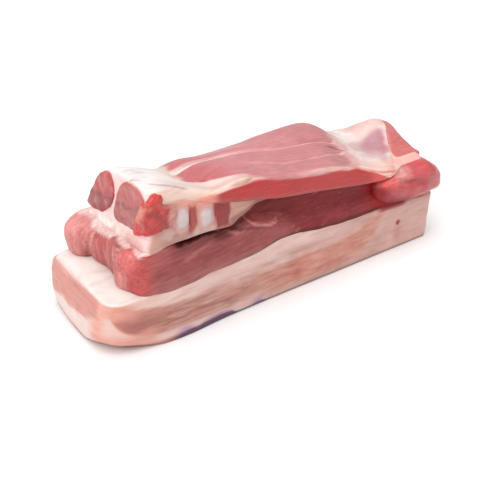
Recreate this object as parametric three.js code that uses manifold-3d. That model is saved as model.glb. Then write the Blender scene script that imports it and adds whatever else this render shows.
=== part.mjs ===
// A block of raw pork belly with the spare ribs left on, lying rind side down.
// Millimetres, +Z up. +X runs along the block, and -Y faces the cut side where the rib ends show.
// Three tiers: a slab of fat with a streak of lean, a layer of lean set back on it, and the rib plate on top.

import * as THREE from "three";
import { mergeVertices } from "three/addons/utils/BufferGeometryUtils.js";
import Module from "manifold-3d";

const wasm = await Module();
wasm.setup();
const { clamp, lerp, smoothstep, degToRad } = THREE.MathUtils;

// Driving dimensions
const LENGTH = 283;
const WIDTH = 90;
const CLEARANCE = 0.3; // between neighbouring tissues
const SINK = 2.5; // how far an upper layer reaches into the one below before it is cut back

const LEFT = -140;
const RIGHT = LEFT + LENGTH;
const FRONT = -WIDTH / 2;
const BACK = WIDTH / 2;

// A smooth function of one number through a few points, with central slopes at each point.
function curve(...points) {
  const last = points.length - 1;
  const slope = (i) => {
    const before = points[Math.max(i - 1, 0)];
    const after = points[Math.min(i + 1, last)];
    return (after[1] - before[1]) / (after[0] - before[0]);
  };
  return (at) => {
    const x = clamp(at, points[0][0], points[last][0]);
    const i = Math.max(points.findIndex((point) => point[0] >= x) - 1, 0);
    const [startX, startY] = points[i];
    const [endX, endY] = points[i + 1];
    const span = endX - startX;
    const t = (x - startX) / span;
    const rest = 1 - t;
    const ends = startY * (1 + 2 * t) * rest ** 2 + endY * (3 - 2 * t) * t ** 2;
    return ends + span * (slope(i) * t * rest ** 2 - slope(i + 1) * rest * t ** 2);
  };
}

// Heights above the board, along the length
const ledge = curve(
  [LEFT, 38.5], [-112, 38.5], [-98, 37], [-85, 36.9], [-76, 37.6], [-66, 39.6], [-45, 40.1], [-34, 40.4],
  [-22, 43.2], [-10, 45.7], [3, 46.2], [18, 43.9], [40, 42.2], [64, 41.2], [RIGHT, 39.5],
);
const leanTopFront = curve(
  [LEFT, 68], [-110, 68], [-90, 69.4], [-65, 69.6], [-56, 69], [-50, 69.4], [-44, 73.4], [-36, 75.6], [-27, 78],
  [5, 76], [50, 69.5], [85, 66], [RIGHT, 64],
);
const leanTopBack = curve([LEFT, 64], [-100, 64], [-50, 62], [0, 67], [80, 65], [RIGHT, 64]);
const plateTopFront = curve(
  [LEFT, 102], [-112, 100], [-67, 92.5], [-33, 95], [4, 90], [44, 84], [91, 68], [RIGHT, 66],
);
const plateTopBack = curve(
  [LEFT, 84], [-90, 87], [-66, 84.5], [-45, 88], [-25, 87.5], [10, 88.5], [62, 92.5], [76, 90], [90, 79], [112, 75],
  [RIGHT, 73],
);
const stripFloor = curve(
  [-75, 92.8], [-65, 89.2], [-52, 85.2], [-37, 81.6], [-12, 76.8], [22, 72], [50, 67.7], [80, 64.3], [90, 64.8], [98, 67],
);

// Height of the rib plate across its cut left end
const plateTopCut = curve(
  [FRONT, 103], [-20, 103.5], [4, 101], [17, 95.5], [29, 84.5], [42, 69.5], [BACK, 66],
);

// The share of the way from the front face to the back face, eased at both.
const acrossShare = (y) => smoothstep(y, FRONT, BACK - 5);

const leanTop = (x, y) => lerp(leanTopFront(x), leanTopBack(x), acrossShare(y));

// The rib plate's top rises to a knoll near the right end, rolls off to the back and is highest at the cut left end.
const KNOLL = { height: 12, atX: 128, atY: 8, spreadX: 20, spreadY: 18 };
const ROLL = { depth: 8, startY: 12, reach: 30 };
const CUT_START = 60; // the cut end's own height takes over from here towards the left
const CUT_FULL = 104;

function plateTop(x, y) {
  const { height, atX, atY, spreadX, spreadY } = KNOLL;
  const knoll = height * Math.exp(-(((x - atX) / spreadX) ** 2) - ((y - atY) / spreadY) ** 2);
  const roll = ROLL.depth * (Math.max(y - ROLL.startY, 0) / ROLL.reach) ** 2;
  const along = lerp(plateTopFront(x), plateTopBack(x), acrossShare(y)) + knoll - roll;
  return lerp(along, plateTopCut(y), smoothstep(-x, CUT_START, CUT_FULL));
}

// Where the seams between the rib plate's three muscles run, as Y against X
const seamHalf = (x) => lerp(1.6, 0.6, smoothstep(x, -50, 10));
const seamBack = curve(
  [LEFT, -6], [-110, -1], [-65, 9], [-47, 12], [-21, 12.5], [-10, 12], [5, 7], [17, 2.5], [33, 0], [51, -0.5], [71, -4],
);
const seamFront = curve(
  [LEFT, -44], [-110, -42], [-70, -28], [-45, -18], [-20, -12], [-4, -19.5], [8, -25], [20, -24.5], [38, -24],
  [55, -20.5], [70, -17],
);

// Where the fat that covers the muscles ends, as X against Y
const coverLeft = curve(
  [FRONT, -28], [-38, -31], [-34.9, -33], [-31.8, -38.6], [-28.4, -47], [-25.8, -53], [-21.6, -58.5], [-15.8, -66],
  [-9, -67], [10, -64], [19, -60], [BACK, -56],
);
const coverRight = curve(
  [FRONT, 53], [-36, 60], [-27, 66], [-16, 69], [2, 74], [12, 78], [22, 84], [BACK, 87],
);
const COVER_DEPTH = 2.8;
const SEAM_DEPTH = 2.6; // how far the fat stays under the plate's top between the muscles
const COVER_EASE = 9;

// How far the fat stands over the muscles, or stays under their crests where it is negative.
function fatCover(x, y) {
  const left = smoothstep(x, coverLeft(y) - COVER_EASE, coverLeft(y) + COVER_EASE);
  const right = smoothstep(x, coverRight(y) - COVER_EASE, coverRight(y) + COVER_EASE);
  return COVER_DEPTH - (COVER_DEPTH + SEAM_DEPTH) * (left - right);
}

// Rounds a box point: the plan's corners to one radius, then the upper and lower edges to a smaller one.
function roundPoint(point, [length, width, height], corner, edge) {
  const coreX = clamp(point.x, corner - length / 2, length / 2 - corner);
  const coreY = clamp(point.y, corner - width / 2, width / 2 - corner);
  const out = new THREE.Vector2(point.x - coreX, point.y - coreY);
  const reach = Math.max(Math.abs(out.x), Math.abs(out.y));
  if (reach === 0) return;
  const sideways = edge - corner + reach;
  const upwards = edge - height / 2 + Math.abs(point.z);
  const onEdge = sideways > 0 && upwards > 0;
  const pull = onEdge ? Math.max(sideways, upwards) / Math.hypot(sideways, upwards) : 1;
  out.setLength(onEdge ? corner - edge + sideways * pull : reach);
  if (onEdge) point.z = Math.sign(point.z) * (height / 2 - edge + upwards * pull);
  point.x = coreX + out.x;
  point.y = coreY + out.y;
}

// Brings a box's even grid lines closer together towards its ends.
const END_CROWDING = 0.5;
const crowd = (share) => lerp(share, Math.sin((share * Math.PI) / 2), END_CROWDING);

function weld(geometry) {
  geometry.deleteAttribute("normal");
  geometry.deleteAttribute("uv");
  return mergeVertices(geometry, 1e-4);
}

function movePoints(geometry, move) {
  const positions = geometry.attributes.position;
  const point = new THREE.Vector3();
  for (let i = 0; i < positions.count; i++) {
    point.fromBufferAttribute(positions, i);
    move(point);
    positions.setXYZ(i, point.x, point.y, point.z);
  }
  return geometry;
}

function solidOf(geometry) {
  const vertProperties = geometry.attributes.position.array;
  const triVerts = new Uint32Array(geometry.index.array);
  return new wasm.Manifold(new wasm.Mesh({ numProp: 3, vertProperties, triVerts }));
}

// A soft-edged block laid between limits: x and y give its two sides, z the height of each row.
// The shares along, across and up run from -1 to 1, and the later limits know the place found so far.
function softBlock({ size, cells, corner, edge, x, y, z }, grow = 0) {
  const [length, width, height] = size;
  const box = weld(new THREE.BoxGeometry(length, width, height, ...cells));
  movePoints(box, (point) => {
    point.set(
      (crowd((2 * point.x) / length) * length) / 2,
      (crowd((2 * point.y) / width) * width) / 2,
      point.z,
    );
    const radius = typeof corner === "function" ? corner(point) : corner;
    roundPoint(point, size, radius, edge);
    const along = (2 * point.x) / length;
    const across = (2 * point.y) / width;
    const up = (2 * point.z) / height;
    const [startX, endX] = x(across, up);
    const placeX = lerp(startX - grow, endX + grow, (along + 1) / 2);
    const [startY, endY] = y(placeX, up);
    const placeY = lerp(startY - grow, endY + grow, (across + 1) / 2);
    point.set(placeX, placeY, z(placeX, placeY, (up + 1) / 2) + grow * up);
  });
  return solidOf(box);
}

// A rounded lump: a ball drawn out to three half sizes, squared a little, turned about Z and put in place.
function lump({ half, at, turn = 0, squareness = 1, divisions = [18, 12], droop }, grow = 0) {
  const ball = weld(new THREE.SphereGeometry(1, ...divisions));
  const square = (value) => Math.sign(value) * Math.abs(value) ** squareness;
  movePoints(ball, (point) => {
    point.set(square(point.x), square(point.y), square(point.z));
    point.multiply(new THREE.Vector3(...half).addScalar(grow));
  });
  ball.rotateZ(degToRad(turn));
  ball.translate(...at);
  if (droop) movePoints(ball, (point) => (point.z -= droop.rate * Math.max(point.x - droop.from, 0) ** 2));
  return solidOf(ball);
}

// A box used as a knife: it keeps what lies between two X limits.
function between(solid, startX, endX) {
  const reach = 4 * WIDTH;
  const keep = weld(new THREE.BoxGeometry(endX - startX, reach, reach));
  keep.translate((startX + endX) / 2, 0, 0);
  return solid.intersect(solidOf(keep));
}

// Cuts neighbours away and keeps the main body, without loose scraps.
function cutBy(solid, ...neighbours) {
  const cut = neighbours.reduce((rest, neighbour) => rest.subtract(neighbour), solid);
  return cut.decompose().reduce((most, body) => (body.volume() > most.volume() ? body : most));
}

// Chooses a corner radius by the quarter of the plan: front left, back left, front right, back right.
const corners = (frontLeft, backLeft, frontRight, backRight) => (point) => {
  if (point.x < 0) return point.y < 0 ? frontLeft : backLeft;
  return point.y < 0 ? frontRight : backRight;
};

// Slab of belly fat, rind at the bottom; the front left corner is cut the roundest
const SLAB_HIGH = 40;
const slabCorner = (point) =>
  point.x < 0 && point.y < 0 ? lerp(25, 13, point.z / SLAB_HIGH + 0.5) : corners(9, 9, 5, 8)(point);
const slabSpec = {
  size: [LENGTH, WIDTH, SLAB_HIGH],
  cells: [20, 8, 4],
  corner: slabCorner,
  edge: 3,
  // the left end leans and swells out a little towards the rind
  x: (across, up) => [LEFT + 1.2 - ((1 - up) / 2) * (2.2 + 1.6 * (1 - across ** 2)), RIGHT],
  y: () => [FRONT, BACK],
  z: (x, y, share) => lerp(0, ledge(x), share),
};
const slab = softBlock(slabSpec);
const slabRaised = softBlock({ ...slabSpec, z: (x, y, share) => lerp(0, ledge(x) + CLEARANCE, share) });

// Streak of lean in the slab: it shows at the left end, misses the rounded corner and thins out to the right
const cornerFatSpec = { half: [11, 14, 160], at: [LEFT, FRONT, 20], divisions: [24, 6] };
const streakFloor = curve(
  [LEFT, 16], [-124, 13.5], [-114, 9.8], [-100, 7.4], [-36, 7.2], [8, 6], [47, 7.6], [62, 11.2], [75, 17.4], [88, 23],
);
const streakTop = curve([LEFT, 36], [-119, 32.5], [-91, 28.7], [-60, 25.4], [-36, 24], [8, 25.6], [45, 26.5], [88, 26]);
const streakSpec = {
  size: [236, WIDTH + 8, 20],
  cells: [14, 6, 2],
  corner: 4,
  edge: 1,
  x: () => [LEFT - 8, 88],
  y: () => [FRONT - 6, BACK + 6],
  z: (x, y, share) => lerp(streakFloor(x), streakTop(x), share),
};

// Middle lean: its lower lobe tapers off along the front, and above that the face steps back
const LOBE_STEP = 7;
const LOBE_SHARE = 0.5; // the row that follows the top of the lobe
const lobeTop = curve([-80, 74], [-45, 66], [-16, 58], [10, 47]);
function middleHeight(x, y, share, top) {
  const floor = ledge(x) - SINK;
  const fold = clamp(lobeTop(x), lerp(floor, top, 0.16), lerp(floor, top, 0.7));
  if (share < LOBE_SHARE) return lerp(floor, fold, share / LOBE_SHARE);
  return lerp(fold, top, (share - LOBE_SHARE) / (1 - LOBE_SHARE));
}
function lobeStep(x, share) {
  const inReach = smoothstep(x, -85, -50) * (1 - smoothstep(x, 86, 104));
  return LOBE_STEP * inReach * smoothstep(share, LOBE_SHARE - 0.1, LOBE_SHARE + 0.3);
}
// The cut left end: scalloped at its foot by three muscles, and rounded off at the top towards the back
const cutEnd = curve(
  [FRONT, -113], [-34, -119], [-23, -123], [-13, -119.5], [0, -118.5], [9, -120], [19, -122.5], [27, -128], [38, -129],
  [BACK, -127],
);
const shoulder = curve([-1, 1], [-0.4, 2], [-0.1, 4], [0.25, 6], [0.5, 12], [1, 13]);
function middleLeft(across, up) {
  const pulledIn = shoulder(across) * (Math.max(up + 0.4, 0) / 1.4) ** 2;
  return cutEnd(across * 43.5) - 1.4 * (1 - up ** 2) + pulledIn;
}
const middleSpec = {
  size: [255, 88, 32],
  cells: [22, 8, 6],
  corner: corners(4, 3, 8, 8),
  edge: 4,
  x: (across, up) => [middleLeft(across, up), RIGHT - 4],
  y: (x, up) => [FRONT + 0.5 + lobeStep(x, (up + 1) / 2), BACK - 2],
  z: (x, y, share) => middleHeight(x, y, share, leanTop(x, y)),
};

// Muscle end that bulges out at the right front corner
const endSpec = {
  half: [38.8, 18.5, 15.2],
  at: [118.4, -34, 53.6],
  turn: 2,
  squareness: 0.87,
  divisions: [20, 12],
  droop: { from: 122, rate: 0.0075 },
};

// Rib plate: its fat is one body round the muscles and the rib ends
const PLATE_FOOT = -113; // the fat's left edge on the lean
const PLATE_FACE = -108.2; // the fat's left edge beside the cut muscles
const MUSCLE_FACE = -108.5;
// The fat's front is set back behind the bright strip, and again behind the bulge at the right.
const plateFront = (x) =>
  FRONT + 0.8 + 4 * (smoothstep(x, -42, -24) - smoothstep(x, 58, 75)) + 5 * smoothstep(x, 96, 112);
const ribFatSpec = {
  size: [250, 86, 24],
  cells: [20, 8, 3],
  corner: 7,
  edge: 3.5,
  x: (across, up) => [
    lerp(PLATE_FOOT, PLATE_FACE, smoothstep(up, -0.8, -0.4)),
    RIGHT - 3 - 10 * smoothstep(-across, 0.5, 1),
  ],
  y: (x) => [plateFront(x), BACK - 4],
  z: (x, y, share) => lerp(leanTop(x, y) - SINK, plateTop(x, y) + fatCover(x, y), share),
};

const plateFloor = (x, y) => leanTop(x, y) + lerp(3, 1.5, smoothstep(x, -70, -40));
function muscleTop(x, y) {
  const dip = 2.5 * Math.exp(-(((x + 82) / 14) ** 2)); // the fat is thickest behind the cut
  return plateTop(x, y) + lerp(2.4, 1, smoothstep(x, -104, -80)) - dip;
}
const muscleRow = (x, y, share) => lerp(plateFloor(x, y), muscleTop(x, y), share);

// Near the cut each muscle leaves its seams and narrows to an oval that leans with its height.
const nearCut = (x) => smoothstep(-x, 55, 100);
const backOval = { front: curve([-1, 15], [0, -1], [1, -7]), back: curve([-1, 45.5], [0, 40.5], [1, 28.5]) };
const middleOval = { front: curve([-1, -27], [0, -39], [1, -48]), back: curve([-1, 9], [0, -4], [1, -9]) };
const backMuscleSpec = {
  size: [198, 36, 24],
  cells: [16, 6, 4],
  corner: 12,
  edge: 6,
  x: (across) => [-128, 88 + 5 * across],
  y: (x, up) => [
    lerp(seamBack(x) + seamHalf(x), backOval.front(up), nearCut(x)),
    lerp(BACK - 2.5, backOval.back(up), nearCut(x)),
  ],
  z: muscleRow,
};
const middleMuscleSpec = {
  size: [186, 28, 24],
  cells: [16, 6, 4],
  corner: 12,
  edge: 6,
  x: (across) => [-128, 79 + 2 * across],
  y: (x, up) => [
    lerp(seamFront(x) + seamHalf(x), middleOval.front(up), nearCut(x)),
    lerp(seamBack(x) - seamHalf(x), middleOval.back(up), nearCut(x)),
  ],
  z: muscleRow,
};
const frontMuscleSpec = {
  size: [168, 22, 14],
  cells: [16, 5, 3],
  corner: 4,
  edge: 2,
  x: () => [-75, 98],
  y: (x) => [FRONT - 0.5, seamFront(x) - seamHalf(x)],
  z: (x, y, share) => {
    const frontTop = plateTopFront(x) + 1.7 * smoothstep(-x, 38, 54);
    const top = lerp(frontTop, muscleTop(x, y), smoothstep(y, FRONT, FRONT + 14));
    return lerp(stripFloor(x), top, share);
  },
};

// Lean at the front left corner of the plate, and the wedge of lean at its right end
// The corner piece is a wedge, deep at its foot and shallow at its top, with a knob grown onto it.
const KNOB = { half: [5.2, 5, 4.8], at: [-103.3, -41.5, 99.8], divisions: [10, 7] };
function cornerWedge(grow) {
  const ball = weld(new THREE.SphereGeometry(1, 14, 10));
  const square = (value) => Math.sign(value) * Math.abs(value) ** 0.4;
  movePoints(ball, (point) => {
    const [along, across, up] = [square(point.x), square(point.y), square(point.z)];
    const share = (up + 1) / 2;
    const right = lerp(-93.2, -89.6, smoothstep(share, 0.2, 0.6));
    const x = lerp(-111.8 - grow, right + grow, (along + 1) / 2);
    const depth = lerp(24, 5, share) + grow;
    const y = FRONT - 1 - grow + ((across + 1) / 2) * (depth + grow);
    const foot = 79.3 - 0.4 * (y - FRONT) - grow;
    const top = 99.5 - 0.28 * (x + 107) + grow;
    point.set(x, y, lerp(foot, top, share));
  });
  return solidOf(ball);
}
const cornerPiece = (grow) => cornerWedge(grow).add(lump(KNOB, grow));

const tipSpec = {
  size: [24, 38, 16],
  cells: [6, 7, 4],
  corner: 5,
  edge: 4,
  x: (across) => [122 + 12 * across, RIGHT - 1.5 - 3 * smoothstep(-across, -0.2, 1)],
  y: () => [-31, 10],
  z: (x, y, share) => lerp(leanTop(x, y) - SINK, plateTop(x, y) + COVER_DEPTH + 0.8, share),
};

// Cut rib ends in the front face, with lean beside each
const RIB_DEPTH = 32;
const ribSpecs = [
  { at: [-86.6, 84.2], half: [5.2, 8.2] },
  { at: [-69.9, 80], half: [4.9, 8.2] },
];
const besideSpecs = [
  { at: [-78.6, 82.2], half: [2.2, 8.6] },
  { at: [-58.2, 78.2], half: [5.2, 8.4] },
];
const RIB_PROUD = 0.4;
const RIM = 0.8; // how far the rim of a cut end is eased in
// An oval rod that runs in from the front face, its mouth drawn in by the rim.
function rod({ at: [x, z], half: [halfX, halfZ] }, depth, rim, grow) {
  const mouth = FRONT - RIB_PROUD;
  const round = weld(new THREE.CylinderGeometry(1, 1, 1, 16, 3));
  movePoints(round, (point) => {
    const inset = point.y < -0.49 ? rim : 0;
    point.x = x + point.x * (halfX + grow - inset);
    point.z = z + point.z * (halfZ + grow - inset);
    point.y = lerp(mouth - grow, mouth + depth + grow, point.y + 0.5);
  });
  return solidOf(round);
}
const ribRods = (rim, grow) => ribSpecs.map((spec) => rod(spec, RIB_DEPTH, rim, grow));
const besideRods = (rim, grow) => besideSpecs.map((spec) => rod(spec, RIB_DEPTH / 2, rim, grow));

// Cutting: each tissue gives way to those laid before it
const streakLean = cutBy(softBlock(streakSpec).intersect(slab), lump(cornerFatSpec));
const bellyFat = cutBy(slab, softBlock(streakSpec, CLEARANCE).subtract(lump(cornerFatSpec, -CLEARANCE)));

const endLean = cutBy(lump(endSpec), slabRaised);
const middleLean = cutBy(softBlock(middleSpec), slabRaised, lump(endSpec, CLEARANCE));

const middleRaised = softBlock({
  ...middleSpec,
  z: (x, y, share) => middleHeight(x, y, share, leanTop(x, y) + CLEARANCE),
});
const below = [middleRaised, slabRaised, lump(endSpec, CLEARANCE)];

const cornerLean = cutBy(cornerPiece(0), ...below);
const tipLean = cutBy(softBlock(tipSpec), ...below);
const tipGrown = softBlock(tipSpec, CLEARANCE);
const frontMuscle = cutBy(softBlock(frontMuscleSpec), ...below, tipGrown, ...ribRods(0, CLEARANCE));
const frontGrown = softBlock(frontMuscleSpec, CLEARANCE);
const cornerGrown = cornerPiece(CLEARANCE);
const ribs = ribRods(RIM, 0).map((rib) => cutBy(rib, cornerGrown));
const besides = besideRods(RIM, 0).map((lean) => cutBy(lean, frontGrown, ...below, ...ribRods(0, CLEARANCE)));

const innerCuts = [...below, cornerGrown, frontGrown, ...ribRods(0, CLEARANCE), ...besideRods(0, CLEARANCE)];
const cutMuscle = (spec) => cutBy(between(softBlock(spec), MUSCLE_FACE, RIGHT), ...innerCuts);
const backMuscle = cutMuscle(backMuscleSpec);
const middleMuscle = cutMuscle(middleMuscleSpec);
const ribFat = cutBy(
  softBlock(ribFatSpec),
  ...innerCuts,
  tipGrown,
  softBlock(backMuscleSpec, CLEARANCE),
  softBlock(middleMuscleSpec, CLEARANCE),
);

// Finishes
const tissue = (color, roughness) => new THREE.MeshStandardMaterial({ color, roughness, metalness: 0 });
const fat = tissue(0xf2ddd2, 0.45);
const creamFat = tissue(0xf6e6da, 0.4);
const paleLean = tissue(0xd99a8c, 0.4);
const darkLean = tissue(0xa2484c, 0.35);
const redLean = tissue(0xc94f4e, 0.35);
const mauveLean = tissue(0xc67a80, 0.3);
const bone = tissue(0xdfe4e8, 0.35);

function meshOf(name, solid, material) {
  const { vertProperties, triVerts } = solid.getMesh();
  const geometry = new THREE.BufferGeometry();
  geometry.setAttribute("position", new THREE.BufferAttribute(vertProperties, 3));
  geometry.setIndex(new THREE.BufferAttribute(triVerts, 1));
  geometry.computeVertexNormals();
  const mesh = new THREE.Mesh(geometry, material);
  mesh.name = name;
  return mesh;
}

const tissues = new THREE.Group();
tissues.add(
  meshOf("belly_fat", bellyFat, fat),
  meshOf("streak_lean", streakLean, paleLean),
  meshOf("middle_lean", middleLean, darkLean),
  meshOf("end_lean", endLean, redLean),
  meshOf("rib_fat", ribFat, creamFat),
  meshOf("rib_lean_back", backMuscle, mauveLean),
  meshOf("rib_lean_middle", middleMuscle, mauveLean),
  meshOf("rib_lean_front", frontMuscle, redLean),
  meshOf("corner_lean", cornerLean, redLean),
  meshOf("tip_lean", tipLean, redLean),
  ...ribs.map((rib, i) => meshOf(`rib_bone_${i + 1}`, rib, bone)),
  ...besides.map((lean, i) => meshOf(`rib_gap_lean_${i + 1}`, lean, darkLean)),
);

// The origin is under the middle of the whole block, on the board.
const box = new THREE.Box3().setFromObject(tissues);
const middle = box.getCenter(new THREE.Vector3());
tissues.position.set(-middle.x, -middle.y, -box.min.z);

const block = new THREE.Group();
block.add(tissues);
export default block;
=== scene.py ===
# %% [markdown]
# # A slab of pork belly with the spare ribs left on
#
# The real thing is one block of raw meat that lies on its rind. From the board up it has a slab of fat
# with a streak of lean, a thick layer of dark lean, and the rib plate: three muscles wrapped in fat,
# with two sawn rib ends in the front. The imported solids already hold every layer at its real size. This
# lesson gives each layer a finer mesh laid on the same curves, sculpts it, and then gives it a moist,
# uneven finish.

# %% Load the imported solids
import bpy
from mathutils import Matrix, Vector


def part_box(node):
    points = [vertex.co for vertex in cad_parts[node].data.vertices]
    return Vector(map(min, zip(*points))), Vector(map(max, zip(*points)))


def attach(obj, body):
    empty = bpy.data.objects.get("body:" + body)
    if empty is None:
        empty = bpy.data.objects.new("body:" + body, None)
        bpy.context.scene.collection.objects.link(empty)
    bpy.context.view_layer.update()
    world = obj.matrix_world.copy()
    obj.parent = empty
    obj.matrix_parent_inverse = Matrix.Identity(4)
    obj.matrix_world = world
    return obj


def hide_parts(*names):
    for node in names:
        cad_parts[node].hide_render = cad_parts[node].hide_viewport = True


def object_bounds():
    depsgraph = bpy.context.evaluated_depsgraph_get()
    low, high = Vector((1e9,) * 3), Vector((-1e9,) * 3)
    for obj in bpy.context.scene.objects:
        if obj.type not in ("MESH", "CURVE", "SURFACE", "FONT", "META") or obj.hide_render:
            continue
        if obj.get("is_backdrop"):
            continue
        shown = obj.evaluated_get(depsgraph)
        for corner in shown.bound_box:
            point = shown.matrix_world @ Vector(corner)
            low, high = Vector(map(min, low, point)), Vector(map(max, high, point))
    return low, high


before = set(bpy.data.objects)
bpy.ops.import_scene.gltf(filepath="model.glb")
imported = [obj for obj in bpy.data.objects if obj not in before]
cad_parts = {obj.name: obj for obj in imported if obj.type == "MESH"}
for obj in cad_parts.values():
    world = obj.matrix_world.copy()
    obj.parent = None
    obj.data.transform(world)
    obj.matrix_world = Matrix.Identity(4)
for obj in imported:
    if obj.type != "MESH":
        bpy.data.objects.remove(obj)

from types import SimpleNamespace

import bmesh
import bpy
import numpy as np
from mathutils import Matrix, Vector, noise

CAD_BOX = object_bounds()
scene = bpy.context.scene
print("solids loaded:", ", ".join(sorted(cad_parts)))

# %% [markdown]
# ## One set of measures
#
# The solids are drawn in millimetres about the middle of the slab, and then moved so that the origin is
# under the middle of the whole block. It is easiest to keep that first set of measures here too. The
# slab's own box tells how far the block was moved, so every point can be written in millimetres and put
# in place at the end.

# %% Measures of the block
MM = 0.001
LENGTH, WIDTH = 283.0, 90.0
LEFT, FRONT = -140.0, -45.0
RIGHT, BACK = LEFT + LENGTH, FRONT + WIDTH

slab_low, slab_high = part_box("belly_fat")
MOVED = np.array([slab_high.x / MM - RIGHT, slab_low.y / MM - FRONT, 0.0])
print("block moved by", MOVED.round(2), "mm")

# %% [markdown]
# ## Camera, light and floor
#
# The camera looks down along the block from its left front corner, about 29 degrees above the floor.
# Its place was worked out from the slab's straight edges. A quaternion points its -Z axis along the
# view. The light is a pale studio: two broad soft lamps, from the upper left and from above, and a
# white world that fills the shadows. The world is dimmer as a light than as a backdrop, and a Light
# Path node tells the two apart. The plain colour transform keeps white as white.


# %% Camera
def new_object(name, data):
    """Puts a new object with this data into the scene."""
    made = bpy.data.objects.new(name, data)
    scene.collection.objects.link(made)
    return made


CAMERA_AT, CAMERA_AIM = (-272.9, -366.2, 277.2), (0.5065, 0.7088, -0.4909)
camera = new_object("camera", bpy.data.cameras.new("camera"))
camera.location = (np.array(CAMERA_AT) + MOVED) * MM
camera.rotation_mode = "QUATERNION"
camera.rotation_quaternion = Vector(CAMERA_AIM).to_track_quat("-Z", "Y")
camera.data.sensor_width = 36.0
camera.data.lens = 52.17
camera.data.clip_start = 0.01
scene.camera = camera
print("camera at", tuple(round(v, 3) for v in camera.location))

# %% Light
WARM_WHITE, FILL_LIGHT, BACKDROP = (1.0, 0.99, 0.98, 1.0), 0.42, 1.0
scene.world = bpy.data.worlds.new("studio")
scene.world.use_nodes = True
studio = scene.world.node_tree
backdrop = studio.nodes["Background"].inputs
backdrop["Color"].default_value = WARM_WHITE
light_path = studio.nodes.new("ShaderNodeLightPath")
seen_or_lighting = studio.nodes.new("ShaderNodeMapRange")
seen_or_lighting.inputs["To Min"].default_value = FILL_LIGHT
seen_or_lighting.inputs["To Max"].default_value = BACKDROP
studio.links.new(light_path.outputs["Is Camera Ray"], seen_or_lighting.inputs["Value"])
studio.links.new(seen_or_lighting.outputs["Result"], backdrop["Strength"])


def soft_sun(name, toward, strength, softness):
    """A sun lamp that shines from a direction, with a wide disc for soft shadows."""
    lamp = new_object(name, bpy.data.lights.new(name, "SUN"))
    lamp.data.energy = strength
    lamp.data.angle = np.radians(softness)
    lamp.rotation_mode = "QUATERNION"
    lamp.rotation_quaternion = (-Vector(toward)).to_track_quat("-Z", "Y")


soft_sun("key_light", toward=(-0.8, -0.15, 0.55), strength=1.35, softness=50)
soft_sun("top_light", toward=(-0.05, -0.1, 1.0), strength=2.4, softness=60)
scene.view_settings.view_transform = "Standard"

# %% Floor
FLOOR_REACH, FLOOR_GREY = 4.0, (0.84, 0.84, 0.84, 1.0)
maker = bmesh.new()
bmesh.ops.create_grid(maker, x_segments=1, y_segments=1, size=FLOOR_REACH)
floor = new_object("floor", bpy.data.meshes.new("floor"))
maker.to_mesh(floor.data)
maker.free()
floor_paint = bpy.data.materials.new("floor")
floor_paint.use_nodes = True
floor_shader = floor_paint.node_tree.nodes["Principled BSDF"].inputs
floor_shader["Base Color"].default_value = FLOOR_GREY
floor_shader["Roughness"].default_value = 0.9
floor.data.materials.append(floor_paint)
floor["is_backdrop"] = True
print("floor laid")

# %% [markdown]
# ## Curves that the layers follow
#
# Each layer of the block lies between curves: how high the fat ledge is along the length, where the
# lean ends, where the seams between the rib muscles run. They could be drawn as curve objects, but a
# function of one number is easier to reuse. `curve` passes a smooth line through a few points, and
# works on whole arrays at once, so a layer with forty thousand vertices is laid in one go.


# %% Curve helpers
def curve(*points):
    """A smooth function of one number through a few points, with central slopes at each point."""
    xs, ys = np.array(points, float).T
    last = len(xs) - 1
    before = np.maximum(np.arange(last + 1) - 1, 0)
    after = np.minimum(np.arange(last + 1) + 1, last)
    slopes = (ys[after] - ys[before]) / (xs[after] - xs[before])

    def at(value):
        x = np.clip(value, xs[0], xs[-1])
        i = np.clip(np.searchsorted(xs, x) - 1, 0, last - 1)
        gap = xs[i + 1] - xs[i]
        t = (x - xs[i]) / gap
        rest = 1 - t
        ends = ys[i] * (1 + 2 * t) * rest**2 + ys[i + 1] * (3 - 2 * t) * t**2
        return ends + gap * (slopes[i] * t * rest**2 - slopes[i + 1] * rest * t**2)

    return at


def ease(value, start, end):
    """Goes smoothly from 0 at start to 1 at end."""
    t = np.clip((value - start) / (end - start), 0.0, 1.0)
    return t * t * (3 - 2 * t)


def span(value, start, full, fading, end):
    """Rises from 0 at start to 1 at full, and goes from 1 at fading back to 0 at end."""
    return ease(value, start, full) * ease(value, end, fading)


def between(a, b, share):
    return a + (b - a) * share


def hill(value, centre, spread):
    return np.exp(-(((value - centre) / spread) ** 2))


# %% Heights along the block
ledge = curve(
    (LEFT, 38.5), (-112, 38.5), (-98, 37), (-85, 36.9), (-76, 37.6), (-66, 39.6), (-45, 40.1),
    (-34, 40.4), (-22, 43.2), (-10, 45.7), (3, 46.2), (18, 43.9), (40, 42.2), (64, 41.2), (RIGHT, 39.5)
)
lean_top_front = curve(
    (LEFT, 68), (-110, 68), (-90, 69.4), (-65, 69.6), (-56, 69), (-50, 69.4), (-44, 73.4), (-36, 75.6),
    (-27, 78), (5, 76), (50, 69.5), (85, 66), (RIGHT, 64)
)
lean_top_back = curve((LEFT, 64), (-100, 64), (-50, 62), (0, 67), (80, 65), (RIGHT, 64))
plate_top_front = curve(
    (LEFT, 102), (-112, 100), (-67, 92.5), (-33, 95), (4, 90), (44, 84), (91, 68), (RIGHT, 66)
)
plate_top_back = curve(
    (LEFT, 84), (-90, 87), (-66, 84.5), (-45, 88), (-25, 87.5), (10, 88.5), (62, 92.5), (76, 90),
    (90, 79), (112, 75), (RIGHT, 73)
)
plate_top_cut = curve(
    (FRONT, 103), (-20, 103.5), (4, 101), (17, 95.5), (29, 84.5), (42, 69.5), (BACK, 66)
)
strip_floor = curve(
    (-75, 92.8), (-65, 89.2), (-52, 85.2), (-37, 81.6), (-12, 76.8), (22, 72), (50, 67.7), (80, 64.3),
    (90, 64.8), (98, 67)
)
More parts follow.
